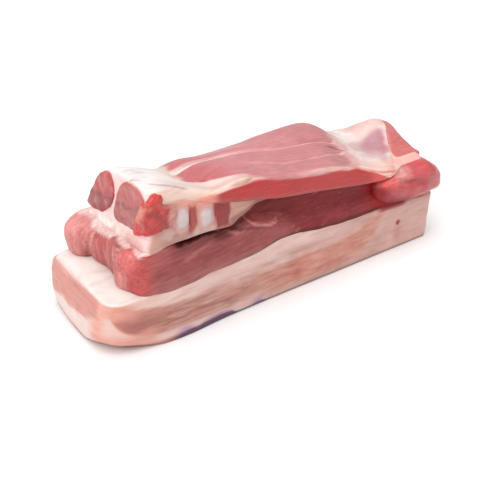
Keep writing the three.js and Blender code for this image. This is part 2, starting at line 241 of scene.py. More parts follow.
print("ledge at the left end:", ledge(LEFT), "mm")

# %% Seams and fat cover from above
seam_back = curve(
    (LEFT, -6), (-110, -1), (-65, 9), (-47, 12), (-21, 12.5), (-10, 12), (5, 7), (17, 2.5), (33, 0),
    (51, -0.5), (71, -4)
)
seam_front = curve(
    (LEFT, -44), (-110, -42), (-70, -28), (-45, -18), (-20, -12), (-4, -19.5), (8, -25), (20, -24.5),
    (38, -24), (55, -20.5), (70, -17)
)
cover_left = curve(
    (FRONT, -28), (-38, -31), (-34.9, -33), (-31.8, -38.6), (-28.4, -47), (-25.8, -53), (-21.6, -58.5),
    (-15.8, -66), (-9, -67), (10, -64), (19, -60), (BACK, -56)
)
cover_right = curve(
    (FRONT, 53), (-36, 60), (-27, 66), (-16, 69), (2, 74), (12, 78), (22, 84), (BACK, 87)
)
print("fat cover ends at", cover_left(0.0).round(1), "and", cover_right(0.0).round(1), "mm")

# %% Tops of the lean and the plate
COVER_DEPTH, SEAM_DEPTH, COVER_EASE, SINK = 2.8, 1.2, 9.0, 2.5


def across_share(y):
    return ease(y, FRONT, BACK - 5)


def lean_top(x, y):
    return between(lean_top_front(x), lean_top_back(x), across_share(y))


def plate_top(x, y):
    """The rib plate's top: rolled off to the back, raised at the right, highest at the cut left end."""
    along = between(plate_top_front(x), plate_top_back(x), across_share(y))
    rise = 12 * hill(x, 128, 20) * hill(y, 8, 18)
    roll = 8 * (np.maximum(y - 12, 0) / 30) ** 2
    return between(along + rise - roll, plate_top_cut(y), ease(x, -60, -104))


def seam_half(x):
    return between(1.6, 0.4, ease(x, -50, 10))


def fat_cover(x, y):
    """How far the fat is above the plate's top: over it at both ends, under it between the muscles."""
    left = ease(x, cover_left(y) - COVER_EASE, cover_left(y) + COVER_EASE)
    right = ease(x, cover_right(y) - COVER_EASE, cover_right(y) + COVER_EASE)
    filled_seam = 1.9 * hill(y, seam_front(x) + 2, 5) * span(x, -58, -48, -20, -8)
    return COVER_DEPTH - (COVER_DEPTH + SEAM_DEPTH) * (left - right) + filled_seam


print("plate's top at the cut:", plate_top(-108.0, -8.0).round(1), "mm")

# %% [markdown]
# ## A soft block
#
# Most layers are a box whose corners and edges are rounded and whose faces follow the curves. A cube
# cut into many small cells gives an even grid to lay down. The cells are cut one axis at a time,
# because a quad whose opposite edges are cut falls into clean strips. Rounding comes first, on the
# plain box, and then each vertex is laid between the limits along, across and up.


# %% Grid box with round edges
def grid_box(cells):
    """A unit cube whose faces are cut into cells, as a new bmesh."""
    maker = bmesh.new()
    bmesh.ops.create_cube(maker, size=1.0)
    for axis, count in enumerate(cells):
        lengthwise = [e for e in maker.edges if abs((e.verts[0].co - e.verts[1].co)[axis]) > 1e-6]
        bmesh.ops.subdivide_edges(maker, edges=lengthwise, cuts=count - 1, use_grid_fill=True)
    return maker


def rounded(points, size, corner, edge):
    """Rounds a box's points: the plan's corners to one radius, the upper and lower edges to another."""
    half = np.array(size) / 2
    corner = np.broadcast_to(corner, len(points))
    core_x = np.clip(points[:, 0], corner - half[0], half[0] - corner)
    core_y = np.clip(points[:, 1], corner - half[1], half[1] - corner)
    out = points[:, :2] - np.stack([core_x, core_y], axis=1)
    reach = np.abs(out).max(axis=1)
    sideways = edge - corner + reach
    upwards = edge - half[2] + np.abs(points[:, 2])
    on_edge = (reach > 0) & (sideways > 0) & (upwards > 0)
    pull = np.maximum(sideways, upwards) / np.maximum(np.hypot(sideways, upwards), 1e-9)
    new_reach = np.where(on_edge, corner - edge + sideways * pull, reach)
    new_up = np.where(on_edge, np.sign(points[:, 2]) * (half[2] - edge + upwards * pull), points[:, 2])
    out *= (new_reach / np.maximum(np.hypot(out[:, 0], out[:, 1]), 1e-9))[:, None]
    return np.stack([core_x + out[:, 0], core_y + out[:, 1], new_up], axis=1)


# %% Pieces and their points
def new_piece(name, maker):
    """Turns a bmesh into a smooth-shaded object."""
    for face in maker.faces:
        face.smooth = True
    piece = new_object(name, bpy.data.meshes.new(name))
    maker.to_mesh(piece.data)
    maker.free()
    return piece


def read(piece, what):
    values = np.empty(3 * len(piece.data.vertices), np.float32)
    piece.data.vertices.foreach_get(what, values)
    return values.reshape(-1, 3).astype(float)


def points_of(piece):
    return read(piece, "co") / MM - MOVED


def put_points(piece, points):
    piece.data.vertices.foreach_set("co", ((points + MOVED) * MM).astype(np.float32).ravel())
    piece.data.update()


# %% Soft block
def soft_block(name, size, cells, corner, edge, x, y, z):
    """Lays a rounded grid box between limits: x and y give two sides, z the height of each row."""
    piece = new_piece(name, grid_box(cells))
    points = read(piece, "co") * np.array(size)
    corner = corner(points) if callable(corner) else corner
    edge = edge(points) if callable(edge) else edge
    along, across, up = (rounded(points, size, corner, edge) / (np.array(size) / 2)).T
    at_x = between(*x(across, up), (along + 1) / 2)
    at_y = between(*y(at_x, up), (across + 1) / 2)
    at_z = z(at_x, at_y, (up + 1) / 2)
    put_points(piece, np.stack([at_x, at_y, at_z], axis=1))
    return piece


def corners(front_left, back_left, front_right, back_right):
    """Chooses a corner radius by the quarter of the plan."""

    def radius(points):
        front = np.where(points[:, 0] < 0, front_left, front_right)
        back = np.where(points[:, 0] < 0, back_left, back_right)
        return np.where(points[:, 1] < 0, front, back)

    return radius


# %% [markdown]
# ## Sculpting in code
#
# A knife leaves meat uneven: broad swells, and fine ridges that run along the layers. A sculpting brush
# would do, but it can't be rerun. Here each vertex moves along its own normal by a number of
# millimetres, and the number comes from Blender's own smooth noise, stretched as the tissue is. The
# same noise later breaks up the colours.


# %% Sculpting helpers
SEED_STEP = 31.7


def lumps(points, sizes, seed):
    """Smooth noise from about -1 to 1, with lumps of one size in millimetres or one along each axis."""
    scaled = points / np.array(sizes, float) + SEED_STEP * seed
    return np.array([noise.noise(p) for p in scaled.tolist()])


def uneven(points, *waves):
    """Adds up noise, where each wave is an amount, a size and a seed."""
    return sum(amount * lumps(points, sizes, seed) for amount, sizes, seed in waves)


def patches(points, start, end, *waves):
    """Soft patches from 0 to 1 where the noise passes from start to end."""
    return ease(uneven(points, *waves), start, end)


def sculpt(piece, amount):
    """Moves each vertex along its normal by a number of millimetres."""
    points, normals = points_of(piece), read(piece, "normal")
    put_points(piece, points + normals * amount(points, normals)[:, None])
    size = np.ptp(points_of(piece), axis=0)
    print(piece.name, len(piece.data.polygons), "faces,", size.round(1), "mm")


# %% [markdown]
# ## The slab of belly fat
#
# The bottom slab is mostly fat, with the rind under it. Its front left corner is cut round and its left
# end swells a little. The cut sides show the layers of the fat as faint level ridges, so the noise
# there is stretched sideways. The underside stays flat, because the slab lies on it.

# %% Ends and corners of the slab
SLAB_HIGH = 40.0


def slab_left(across, up):
    """The left end: straight at the ledge, swollen at half height, rounder in plan towards the rind."""
    swell = 2.8 * (1 - up**2)
    round_foot = (1 - up) / 2 * (1.8 + 3.6 * (1 - across**2))
    return LEFT + 1.2 - swell - round_foot


def slab_front(x, up):
    """The front is upright, but its foot flares out a little where the rind curls."""
    return FRONT - 2.4 * hill(x, -88, 24) * ease(up, -0.45, -1)


def slab_corner(points):
    """Plan radii: the front left corner is wide at the rind and tighter at the ledge."""
    front_left = between(25, 13, points[:, 2] / SLAB_HIGH + 0.5)
    return np.where((points[:, 0] < 0) & (points[:, 1] < 0), front_left, corners(9, 9, 5, 8)(points))


def slab_edge(points):
    """Small edge radii, but the front left corner curls up below and the back left one is worn off."""
    from_front = np.hypot(points[:, 0] + LENGTH / 2, points[:, 1] + WIDTH / 2)
    from_back = np.hypot(points[:, 0] + LENGTH / 2, points[:, 1] - WIDTH / 2)
    below = 1.4 + 12 * ease(from_front, 40, 14)
    above = 2.2 + 6.7 * ease(from_back, 60, 25)
    return np.where(points[:, 2] < 0, below, above)


# %% Slab
def slab_relief(points, normals):
    sides = 1 - np.abs(normals[:, 2])
    swell = uneven(points, (0.9, (60, 45, 30), 1), (0.4, (17, 17, 9), 2))
    ridges = uneven(points, (0.4, (70, 60, 4.5), 3), (0.2, (30, 30, 2.4), 4))
    layered = between(1.0, 0.3, ease(points[:, 0], -20, 50))
    return (swell + layered * sides * ridges) * ease(points[:, 2], 0.0, 4.0)


slab = soft_block(
    "belly_fat_slab",
    size=(LENGTH, WIDTH, SLAB_HIGH),
    cells=(224, 72, 32),
    corner=slab_corner,
    edge=slab_edge,
    x=lambda across, up: (slab_left(across, up), RIGHT + 1.0 + 0.8 * up),
    y=lambda x, up: (slab_front(x, up), BACK),
    z=lambda x, y, share: between(0.0, ledge(x), share),
)
sculpt(slab, slab_relief)

# %% [markdown]
# ## The streak of lean in the slab
#
# A brownish band of lean runs through the slab. It shows along the front, at the left end and at the
# back, and thins out to the right. It could be cut from the slab with a Boolean, but a thin block on
# the same plan, with the same relief and a hair proud, lies flush and keeps an even grid. Its rim has
# the slab's own colour, so no edge shows. How much lean shows at a vertex is worked out from two more
# curves, the band's upper and lower edge in the front.

# %% Streak
streak_floor = curve(
    (LEFT, 13), (-120, 12), (-105, 8), (-77, 6.5), (-36, 7.5), (8, 7), (47, 8.5), (77, 13), (98, 20)
)
streak_top = curve(
    (LEFT, 41), (-128, 37), (-118, 33), (-105, 28), (-76, 25.5), (-45, 27), (8, 25), (45, 27),
    (75, 29.5), (98, 27)
)
STREAK_END, STREAK_RIM, STREAK_PROUD, STREAK_HIGH, STREAK_CEILING = 98.0, 3.0, 0.25, 24.0, 34.0


def slab_row(up):
    """The slab's own row, from -1 to 1, at a row of the band."""
    return between(-0.5, 0.75, (up + 1) / 2)


def streak_corner(points):
    in_slab = points.copy()
    in_slab[:, 2] = slab_row(points[:, 2] / (STREAK_HIGH / 2)) * SLAB_HIGH / 2
    return slab_corner(in_slab)


def streak_row(x, y, share):
    top = np.minimum(streak_top(x) + STREAK_RIM, STREAK_CEILING)
    return between(streak_floor(x) - STREAK_RIM, top, share)


def streak_relief(points, normals):
    return slab_relief(points, normals) + STREAK_PROUD * (1 - np.abs(normals[:, 2]))


streak = soft_block(
    "streak_lean_band",
    size=(STREAK_END - LEFT, WIDTH, STREAK_HIGH),
    cells=(180, 72, 22),
    corner=streak_corner,
    edge=0.8,
    x=lambda across, up: (slab_left(across, slab_row(up)), STREAK_END),
    y=lambda x, up: (slab_front(x, slab_row(up)), BACK),
    z=streak_row,
)
sculpt(streak, streak_relief)

# %% How much of the streak shows
lean_over = curve(
    (-137, 34), (-133.7, 35.5), (-129, 35), (-119, 32.5), (-105, 30.5), (-91, 28.7), (-76, 27.5),
    (-60, 25.4), (-36, 24), (8, 28.2), (25, 27.6), (45, 27.4), (65, 31), (79, 36.5), (98, 38)
)
lean_under = curve(
    (-137.5, 28), (-134, 21), (-124, 13.5), (-114, 9.8), (-100, 7.4), (-36, 7.2), (8, 5), (27, 4.6),
    (47, 5), (62, 8.5), (77, 17.5), (86, 26), (98, 36)
)
left_streak_floor = curve(
    (-45, 32), (-30, 25), (-19, 19.5), (-7, 18), (6, 16), (16, 16.5), (27, 13), (39, 14), (BACK, 14)
)


def streak_share(points):
    """How much lean shows: full in the band, none at the round corner and past the right tip."""
    x, y, z = points.T
    wander = uneven(points, (1.2, (22, 22, 7), 5), (0.8, (7, 7, 3), 6))
    in_front = np.minimum(z - lean_under(x), lean_over(x) - z) + wander
    in_left = np.minimum(np.minimum(z - left_streak_floor(y), 41 - z), 0.6 * (y + 34)) + 1.5 * wander
    left_face = ease(x, -126, -133) * ease((x - LEFT) - (y - FRONT), 4, -4)
    tip = ease(x + 5 * lumps(points, (20, 20, 8), 8), 88, 78)
    return between(ease(in_front, -0.5, 3.0) * tip, ease(in_left, 0.0, 4.0), left_face)


print("lean shows on", round(100 * streak_share(points_of(streak)).mean()), "% of the band's vertices")

# %% [markdown]
# ## The middle layer of lean
#
# This is the dark red layer. Along the front its lower lobe tapers off to the right, and above the lobe
# the face steps back under the rib plate. One row of the grid follows the top of the lobe, so the step
# stays clean. At the left end the knife crossed three muscles, and they swell between shallow grooves.

# %% Lobe and cut end of the lean
LOBE_STEP, LOBE_SHARE, CUT_HALF = 7.0, 0.5, 43.5
lobe_top = curve((-80, 74), (-45, 66), (-16, 58), (10, 47))
cut_end = curve(
    (FRONT, -113), (-40, -116.5), (-34, -119), (-23, -123), (-13, -119.5), (0, -118.5), (9, -120),
    (19, -122.5), (27, -128), (38, -129), (BACK, -127)
)
shoulder = curve((-1, 1), (-0.4, 2), (-0.1, 4), (0.25, 6), (0.5, 12), (1, 13))


def middle_row(x, y, share):
    floor_z, top = ledge(x) - SINK, lean_top(x, y)
    fold = np.clip(lobe_top(x), between(floor_z, top, 0.16), between(floor_z, top, 0.7))
    lower = between(floor_z, fold, share / LOBE_SHARE)
    upper = between(fold, top, (share - LOBE_SHARE) / (1 - LOBE_SHARE))
    return np.where(share < LOBE_SHARE, lower, upper)


def lobe_step(x, share):
    """How far the front steps back above the lobe, and under the rib plate at the left."""
    step = LOBE_STEP * span(x, -85, -50, 86, 104) * ease(share, LOBE_SHARE - 0.02, LOBE_SHARE + 0.2)
    return step + 5 * ease(share, 0.78, 1.0) * span(x, -98, -80, -50, -35)


def middle_left(across, up):
    """The cut end: scalloped at its foot, a little swollen, rounded off at the top towards the back."""
    swell = 1.4 * (1 - up**2)
    return cut_end(across * CUT_HALF) - swell + shoulder(across) * (np.maximum(up + 0.4, 0) / 1.4) ** 2


# %% Middle lean
def muscle_grooves(points):
    """Depth, from 0 to 1, of the two grooves between the three muscles at the left end."""
    x, y, z = points.T
    back_groove = hill(y, 13.5 + 0.18 * (64 - z), 1.8)
    front_groove = hill(y, -15.3 - 0.5 * (z - 43.2), 1.8)
    return np.maximum(back_groove, front_groove) * ease(x, -104, -116)


def middle_relief(points, normals):
    sides = 1 - np.abs(normals[:, 2])
    swell = uneven(points, (1.0, (45, 32, 20), 11), (0.45, (14, 13, 8), 12))
    fibres = uneven(points, (0.5, (42, 12, 4.2), 13), (0.3, (16, 6, 2.4), 14))
    cut = ease(-normals[:, 0], 0.5, 0.9) * ease(points[:, 0], -105, -112)
    upright = uneven(points, (0.4, (9, 7, 30), 15), (0.2, (3, 3, 9), 16))
    return swell + sides * between(fibres, upright, cut) - 2.4 * muscle_grooves(points)


middle = soft_block(
    "middle_lean_layer",
    size=(255, 88, 32),
    cells=(200, 70, 30),
    corner=corners(4, 3, 8, 8),
    edge=4,
    x=lambda across, up: (middle_left(across, up), RIGHT - 4),
    y=lambda x, up: (FRONT + 0.5 + lobe_step(x, (up + 1) / 2), BACK - 2),
    z=middle_row,
)
sculpt(middle, middle_relief)

# %% [markdown]
# ## Lumps and rods
#
# The red muscle end at the right, the lean at the plate's corner and the sawn ribs are rounded bodies.
# A sphere drawn out to three half sizes gives a lump. Raising each coordinate to a power below one
# squares it, and squaring the axis that runs inwards a lot makes the lump a rod with a softly rimmed
# flat end.

# %% Lumps
TIP_TO_FRONT = Matrix.Rotation(np.pi / 2, 3, "X")


def ball_points(half, at, turn=0.0, square=(1.0, 1.0, 1.0)):
    """Moves a unit ball's points to a lump's place."""

    def move(unit):
        x, y, z = (np.sign(unit) * np.abs(unit) ** np.array(square) * np.array(half)).T
        c, s = np.cos(np.radians(turn)), np.sin(np.radians(turn))
        return np.stack([x * c - y * s, x * s + y * c, z], 1) + np.array(at)

    return move


def lump(name, move, rings=48, sides=72):
    maker = bmesh.new()
    bmesh.ops.create_uvsphere(maker, u_segments=sides, v_segments=rings, radius=1.0)
    bmesh.ops.rotate(maker, verts=maker.verts, matrix=TIP_TO_FRONT)
    piece = new_piece(name, maker)
    put_points(piece, move(read(piece, "co")))
    return piece


# %% Bulge at the right
end_ball = ball_points((38.8, 18.5, 15.2), (118.4, -34, 53.6), turn=2, square=(0.87, 0.88, 0.84))


def drooping(unit):
    """The bulge hangs down a little past the slab's right end."""
    points = end_ball(unit)
    points[:, 2] -= 0.0075 * np.maximum(points[:, 0] - 122, 0) ** 2
    return points


def end_relief(points, normals):
    x, z = points[:, 0], points[:, 2]
    swell = uneven(points, (1.2, (22, 18, 14), 21), (0.5, (8, 8, 6), 22), (0.3, (20, 8, 3), 23))
    return swell - 2.5 * hill(z + 0.22 * (x - 100), 61, 2.4) * span(x, 96, 104, 118, 128)


end_lean = lump("end_lean_bulge", drooping, rings=64, sides=96)
sculpt(end_lean, end_relief)

# %% [markdown]
# ## The rib plate's fat
#
# The plate's fat is one body round the muscles. At the left it covers them as a thick cream layer, in
# the middle it sinks between them and shows only as seams, and at the right it is a smooth patch. The
# muscles are laid through it, so nothing has to be cut: where a muscle's crest is higher than the fat,
# the muscle shows.

# %% Rib fat
PLATE_FOOT, PLATE_FACE = -113.0, -109.2


def plate_ends(across, up):
    """The left end stands on a wider foot; the right end is drawn in at the front behind the lean."""
    left = between(PLATE_FOOT, PLATE_FACE, ease(up, -0.8, -0.4))
    return left, RIGHT - 3 - 6 * ease(across, -0.45, -1)


def plate_front(x):
    """The fat's front: set back behind the bright strip, and again behind the bulge at the right."""
    return FRONT + 0.8 + 4 * (ease(x, -42, -24) - ease(x, 58, 75)) + 5 * ease(x, 96, 112)


def plate_row(x, y, share):
    """The fat sinks into the lean, but only a little along the front, where a crack shows under it."""
    sunk = between(SINK, 0.7, ease(y, -36, -43) * ease(x, -108, -98))
    return between(lean_top(x, y) - sunk, plate_top(x, y) + fat_cover(x, y), share)


def rib_fat_relief(points, normals):
    sides = 1 - np.abs(normals[:, 2])
    swell = uneven(points, (0.6, (40, 26, 20), 31), (0.35, (13, 11, 8), 32))
    ragged = uneven(points, (1.4, (9, 9, 5), 34), (0.8, (3.5, 3.5, 2.5), 35))
    foot = ease(points[:, 0], -107, -113)
    return swell + 0.3 * sides * lumps(points, (9, 9, 4), 33) + ragged * foot


rib_fat = soft_block(
    "rib_fat_plate",
    size=(250, 86, 24),
    cells=(200, 70, 24),
    corner=7,
    edge=lambda points: np.where(points[:, 2] < 0, 0.8, 3.5),
    x=plate_ends,
    y=lambda x, up: (plate_front(x), BACK - 4),
    z=plate_row,
)
sculpt(rib_fat, rib_fat_relief)

# %% [markdown]
# ## The three muscles of the rib plate
#
# Two long muscles run back from the cut ovals at the left end, and a third forms the bright strip along
# the front. Each is a soft block between two seams. For the flat ovals, the block starts a little
# further out and every vertex past the cutting plane is brought back onto it, which keeps an even grid
# on the cut face too.

# %% Tops and sides of the muscles
MUSCLE_START, MUSCLE_FACE, CUT_BULGE = -120.0, -108.5, 2.0
BACK_OVAL = curve((-1, 15), (0, -1), (1, -7)), curve((-1, 45.5), (0, 40.5), (1, 28.5))
MIDDLE_OVAL = curve((-1, -27), (0, -39), (1, -48)), curve((-1, 9), (0, -4), (1, -9))


def muscle_top(x, y):
    return plate_top(x, y) + between(2.4, 1.0, ease(x, -104, -80)) - 2.5 * hill(x, -82, 14)


def muscle_row(x, y, share):
    floor_z = lean_top(x, y) + between(3.0, 1.5, ease(x, -70, -40))
    return between(floor_z, muscle_top(x, y), share)


def sides_of(x, up, along, at_cut):
    """A muscle's two sides: between its seams, and rounder towards the cut."""
    near_cut = ease(x, -55, -100)
    return [between(seam, side(up), near_cut) for seam, side in zip(along, at_cut)]


def cut_flat(piece):
    """Squeezes what lies past the cutting plane into a shallow bulge."""
    points = points_of(piece)
    past = np.maximum(MUSCLE_FACE - points[:, 0], 0)
    points[:, 0] = np.maximum(points[:, 0], MUSCLE_FACE) - CUT_BULGE * (1 - np.exp(-past / CUT_BULGE))
    put_points(piece, points)


def rounder_at_cut(points):
    return 5 + 7 * ease(points[:, 0], -45, -85)


def back_sides(x, up):
    return sides_of(x, up, (seam_back(x) + seam_half(x), BACK - 2.5), BACK_OVAL)


def middle_sides(x, up):
    seams = seam_front(x) + seam_half(x), seam_back(x) - seam_half(x)
    return sides_of(x, up, seams, MIDDLE_OVAL)


# %% Two cut muscles
back_muscle = soft_block(
    "rib_lean_back_muscle",
    size=(198, 36, 26),
    cells=(150, 34, 24),
    corner=corners(12, 12, 6, 9),
    edge=rounder_at_cut,
    x=lambda across, up: (MUSCLE_START, 88 + 5 * across),
    y=back_sides,
    z=muscle_row,
)
middle_muscle = soft_block(
    "rib_lean_middle_muscle",
    size=(186, 30, 26),
    cells=(140, 30, 24),
    corner=corners(12, 12, 6, 6),
    edge=rounder_at_cut,
    x=lambda across, up: (MUSCLE_START, 79 + 2 * across),
    y=middle_sides,
    z=muscle_row,
)
cut_flat(back_muscle)
cut_flat(middle_muscle)
print("ovals cut at", MUSCLE_FACE, "mm")


# %% Front strip
def strip_top(x, y):
    """The strip's upper side: at the front it reaches a little up the fat's face at its left tip."""
    front_top = plate_top_front(x) + 1.7 * ease(x, -38, -54)
    return between(front_top, muscle_top(x, y), ease(y, FRONT, FRONT + 14))


front_muscle = soft_block(
    "rib_lean_front_strip",
    size=(168, 22, 14),
    cells=(140, 26, 14),
    corner=4,
    edge=2,
    x=lambda across, up: (-75, 98),
    y=lambda x, up: (FRONT - 0.5, seam_front(x) - seam_half(x)),
    z=lambda x, y, share: between(strip_floor(x), strip_top(x, y), share),
)
print("strip from", points_of(front_muscle)[:, 0].min().round(1), "mm")


# %% Fibres of the muscles
def muscle_relief(seed):
    def relief(points, normals):
        swell = uneven(points, (0.5, (40, 16, 14), seed), (0.25, (12, 8, 8), seed + 1))
        fibres = 0.3 * lumps(points, (40, 3.5, 5), seed + 2)
        cut = ease(-normals[:, 0], 0.6, 0.9)
        return swell + (1 - cut) * fibres + cut * 0.5 * lumps(points, 6, seed + 3)

    return relief


for seed, muscle in ((41, back_muscle), (51, middle_muscle), (61, front_muscle)):
    sculpt(muscle, muscle_relief(seed))

# %% [markdown]
# ## Small lean pieces and the sawn ribs
#
# The lean at the plate's front left corner is a wedge with a knob grown onto it. Separate bodies would
# show a hard crease, so they are joined and remeshed into one skin with the Remesh modifier, then
# smoothed. The wedge at the right end is a soft block again. The ribs and the dark lean beside them are
# rods set into the front face.


# %% Growing bodies together
def apply_modifiers(piece):
    """Replaces a piece's mesh with what its modifiers make of it."""
    shown = piece.evaluated_get(bpy.context.evaluated_depsgraph_get())
    mesh = bpy.data.meshes.new_from_object(shown)
    piece.modifiers.clear()
    old, piece.data = piece.data, mesh
    bpy.data.meshes.remove(old)


def fused(name, moves, voxel, passes):
    """Bodies made from balls, grown together into one smooth skin."""
    maker = bmesh.new()
    for move in moves:
        made = bmesh.ops.create_uvsphere(maker, u_segments=40, v_segments=28, radius=1.0)["verts"]
        unit = np.array([v.co for v in made])
        for vert, place in zip(made, (move(unit) + MOVED) * MM):
            vert.co = place
    piece = new_piece(name, maker)
    remesh = piece.modifiers.new("one_skin", "REMESH")
    remesh.mode, remesh.voxel_size, remesh.use_smooth_shade = "VOXEL", voxel * MM, True
    soften = piece.modifiers.new("soften", "SMOOTH")
    soften.factor, soften.iterations = 0.5, passes
    apply_modifiers(piece)
    return piece


# %% Corner lean
def corner_wedge(unit):
    """A wedge: deep at its foot, shallow at its top, with a foot that drops towards the back."""
    along, across, up = (np.sign(unit) * np.abs(unit) ** 0.34).T
    share = (up + 1) / 2
    right = between(-92.8, -89.6, ease(share, 0.2, 0.6))
    x = between(-111.8, right, (along + 1) / 2)
    y = FRONT - 1.0 + (across + 1) / 2 * between(24, 5, share)
    foot, top = 79.3 - 0.4 * (y - FRONT), 99.5 - 0.28 * (x + 107)
    return np.stack([x, y, between(foot, top, share)], axis=1)


corner_knob = ball_points((5.2, 5.0, 4.8), (-103.3, -41.5, 99.8))
corner_lean = fused("corner_lean_end", [corner_wedge, corner_knob], voxel=0.6, passes=5)
sculpt(corner_lean, lambda points, normals: uneven(points, (0.7, 7, 71), (0.6, 3, 72), (0.3, 1.5, 73)))

# %% Tip
tip_lean = soft_block(
    "tip_lean_wedge",
    size=(24, 38, 16),
    cells=(30, 40, 18),
    corner=corners(5, 5, 3, 5),
    edge=4,
    x=lambda across, up: (122 + 12 * across, RIGHT - 1.5 - 1.6 * ease(across, 0.2, -1)),
    y=lambda x, up: (-31.0, 10.0),
    z=lambda x, y, share: between(lean_top(x, y) - SINK, plate_top(x, y) + COVER_DEPTH + 0.6, share),
)
sculpt(tip_lean, lambda points, normals: uneven(points, (0.5, (12, 9, 8), 75), (0.25, (4, 10, 4), 76)))

# %% Ribs and the lean beside them
RIB_DEPTH, RIB_PROUD, GAP_PROUD = 32.0, 0.6, 0.4
RIB_SIZES = ((-86.0, 84.0, 6.4, 9.6), (-69.4, 80.0, 6.2, 9.4))
GAP_RODS = ((-78.8, 82.2, 2.6, 9.0), (-58.2, 78.2, 6.0, 9.8))


def rod(name, size, depth, proud):
    """A rod set into the plate's front, by the place and the half sizes of its end."""
    x, z, half_x, half_z = size
    place = (x, FRONT - proud + depth / 2, z)
    return lump(name, ball_points((half_x, depth / 2, half_z), place, square=(0.85, 0.3, 0.85)))


ribs = [rod(f"rib_bone_{i}_end", size, RIB_DEPTH, RIB_PROUD) for i, size in enumerate(RIB_SIZES, 1)]
gap_lean = [
    rod(f"rib_gap_lean_{i}_strip", size, RIB_DEPTH / 2, GAP_PROUD) for i, size in enumerate(GAP_RODS, 1)
]
for number, piece in enumerate(ribs + gap_lean):
    sculpt(piece, lambda points, normals: 0.3 * lumps(points, (4, 6, 4), 80 + number))

# %% [markdown]
# ## Finishes
#
# Raw meat is never one colour. Two things make it up here. The slow changes, such as a pale ledge, are
# painted on the vertices, and so is painted shade, such as a darker recess: a tint starts from one named
# shade, and others are laid over it by shares that use the same curves that shaped the layer. The fine
# changes come from two shader groups, one for the fibres of lean and one for the strands and clouds of
# fat. Light sinks a little way into both tissues, which the Principled shader's subsurface gives.


# %% Painting helpers
def colour(code):
    """A colour by its code in the colour picker's Hex field, in the linear light that shaders use."""
    screen = np.array([code >> 16, code >> 8 & 255, code & 255]) / 255
    return np.where(screen <= 0.04045, screen / 12.92, ((screen + 0.055) / 1.055) ** 2.4)


def shades(**codes):
    """A set of named colours."""
    print("shades:", ", ".join(codes))
    return SimpleNamespace(**{name: colour(code) for name, code in codes.items()})


def paint(base, *layers):
    """Lays colours over a first one, each by a share from 0 to 1 for every vertex."""
    for over, share in layers:
        base = base + (over - base) * np.clip(share, 0, 1)[:, None]
    return base


def tint(piece, colours, lined=0.0):
    """Paints each vertex for the material to read; the alpha is the strength of fine lines."""
    layer = piece.data.attributes.new("tint", "FLOAT_COLOR", "POINT")
    alpha = np.broadcast_to(lined, len(colours))
    rgba = np.concatenate([np.clip(colours, 0, 1), alpha[:, None]], axis=1)
    layer.data.foreach_set("color", rgba.astype(np.float32).ravel())


def stripe(value, centre, half_width):
    """A soft-edged band about a centre."""
    return ease(np.abs(value - centre), 1.6 * half_width, 0.4 * half_width)


# %% Node helpers
def fill(socket, value):
    """Sets a socket, or links it when the value is another node's output."""
    if isinstance(value, bpy.types.NodeSocket):
        socket.id_data.links.new(value, socket)
    else:
        socket.default_value = value


def add(tree, kind, values=(), **settings):
    node = tree.nodes.new("ShaderNode" + kind)
    for key, value in settings.items():
        setattr(node, key, value)
    for key, value in dict(values).items():
        fill(node.inputs[key], value)
    return node


def mix(tree, share, a, b, way="MIX"):
    """Mixes two colours by a share."""
    node = add(tree, "Mix", data_type="RGBA", blend_type=way)
    for slot, value in ((0, share), (6, a), (7, b)):
        fill(node.inputs[slot], value)
    return node.outputs[2]


def maths(tree, way, a, b):
    return add(tree, "Math", {0: a, 1: b}, operation=way).outputs[0]


def ramp(tree, value, start, end, low=0.0, high=1.0):
    """A value eased from low at start to high at end."""
    values = {0: value, 1: start, 2: end, 3: low, 4: high}
    return add(tree, "MapRange", values, interpolation_type="SMOOTHSTEP").outputs[0]


def cloud(tree, place, scale, detail, wavy=0.0):
    """Noise with one scale, or with one along each axis."""
    if isinstance(scale, tuple):
        place, scale = add(tree, "Mapping", {"Vector": place, "Scale": scale}).outputs["Vector"], 1.0
    values = {"Vector": place, "Scale": scale, "Detail": detail, "Distortion": wavy}
    return add(tree, "TexNoise", values).outputs["Fac"]


def new_group(name, outputs):
    """A shader group that takes a place and puts out numbers."""
    group = bpy.data.node_groups.new(name, "ShaderNodeTree")
    group.interface.new_socket(name="Place", in_out="INPUT", socket_type="NodeSocketVector")
    for socket in outputs:
        group.interface.new_socket(name=socket, in_out="OUTPUT", socket_type="NodeSocketFloat")
    place = group.nodes.new("NodeGroupInput").outputs["Place"]
    return group, place, group.nodes.new("NodeGroupOutput").inputs


# %% Muscle grain and fat grain
muscle_grain, place, put_out = new_group("muscle_grain", ["Fibre", "Mottle", "Flecks", "Height"])
fibre = cloud(muscle_grain, place, (70, 620, 620), 3)
fine = cloud(muscle_grain, place, (220, 1500, 1500), 2)
flecks = cloud(muscle_grain, place, (90, 330, 330), 4)
fill(put_out["Fibre"], fibre)
fill(put_out["Mottle"], cloud(muscle_grain, place, 90, 3))
fill(put_out["Flecks"], ramp(muscle_grain, flecks, 0.6, 0.75))
fill(put_out["Height"], maths(muscle_grain, "ADD", fibre, maths(muscle_grain, "MULTIPLY", fine, 0.6)))

fat_grain, place, put_out = new_group("fat_grain", ["Clouds", "Strands", "Lines", "Height"])
strands = cloud(fat_grain, place, (45, 90, 420), 4)
pores = cloud(fat_grain, place, 900, 2)
fine_lines = cloud(fat_grain, place, (50, 60, 700), 4, wavy=0.8)
fill(put_out["Clouds"], cloud(fat_grain, place, 90, 4))
fill(put_out["Strands"], strands)
fill(put_out["Lines"], ramp(fat_grain, fine_lines, 0.54, 0.66))
fill(put_out["Height"], maths(fat_grain, "ADD", strands, maths(fat_grain, "MULTIPLY", pores, 0.4)))
print("groups:", [g.name for g in bpy.data.node_groups])

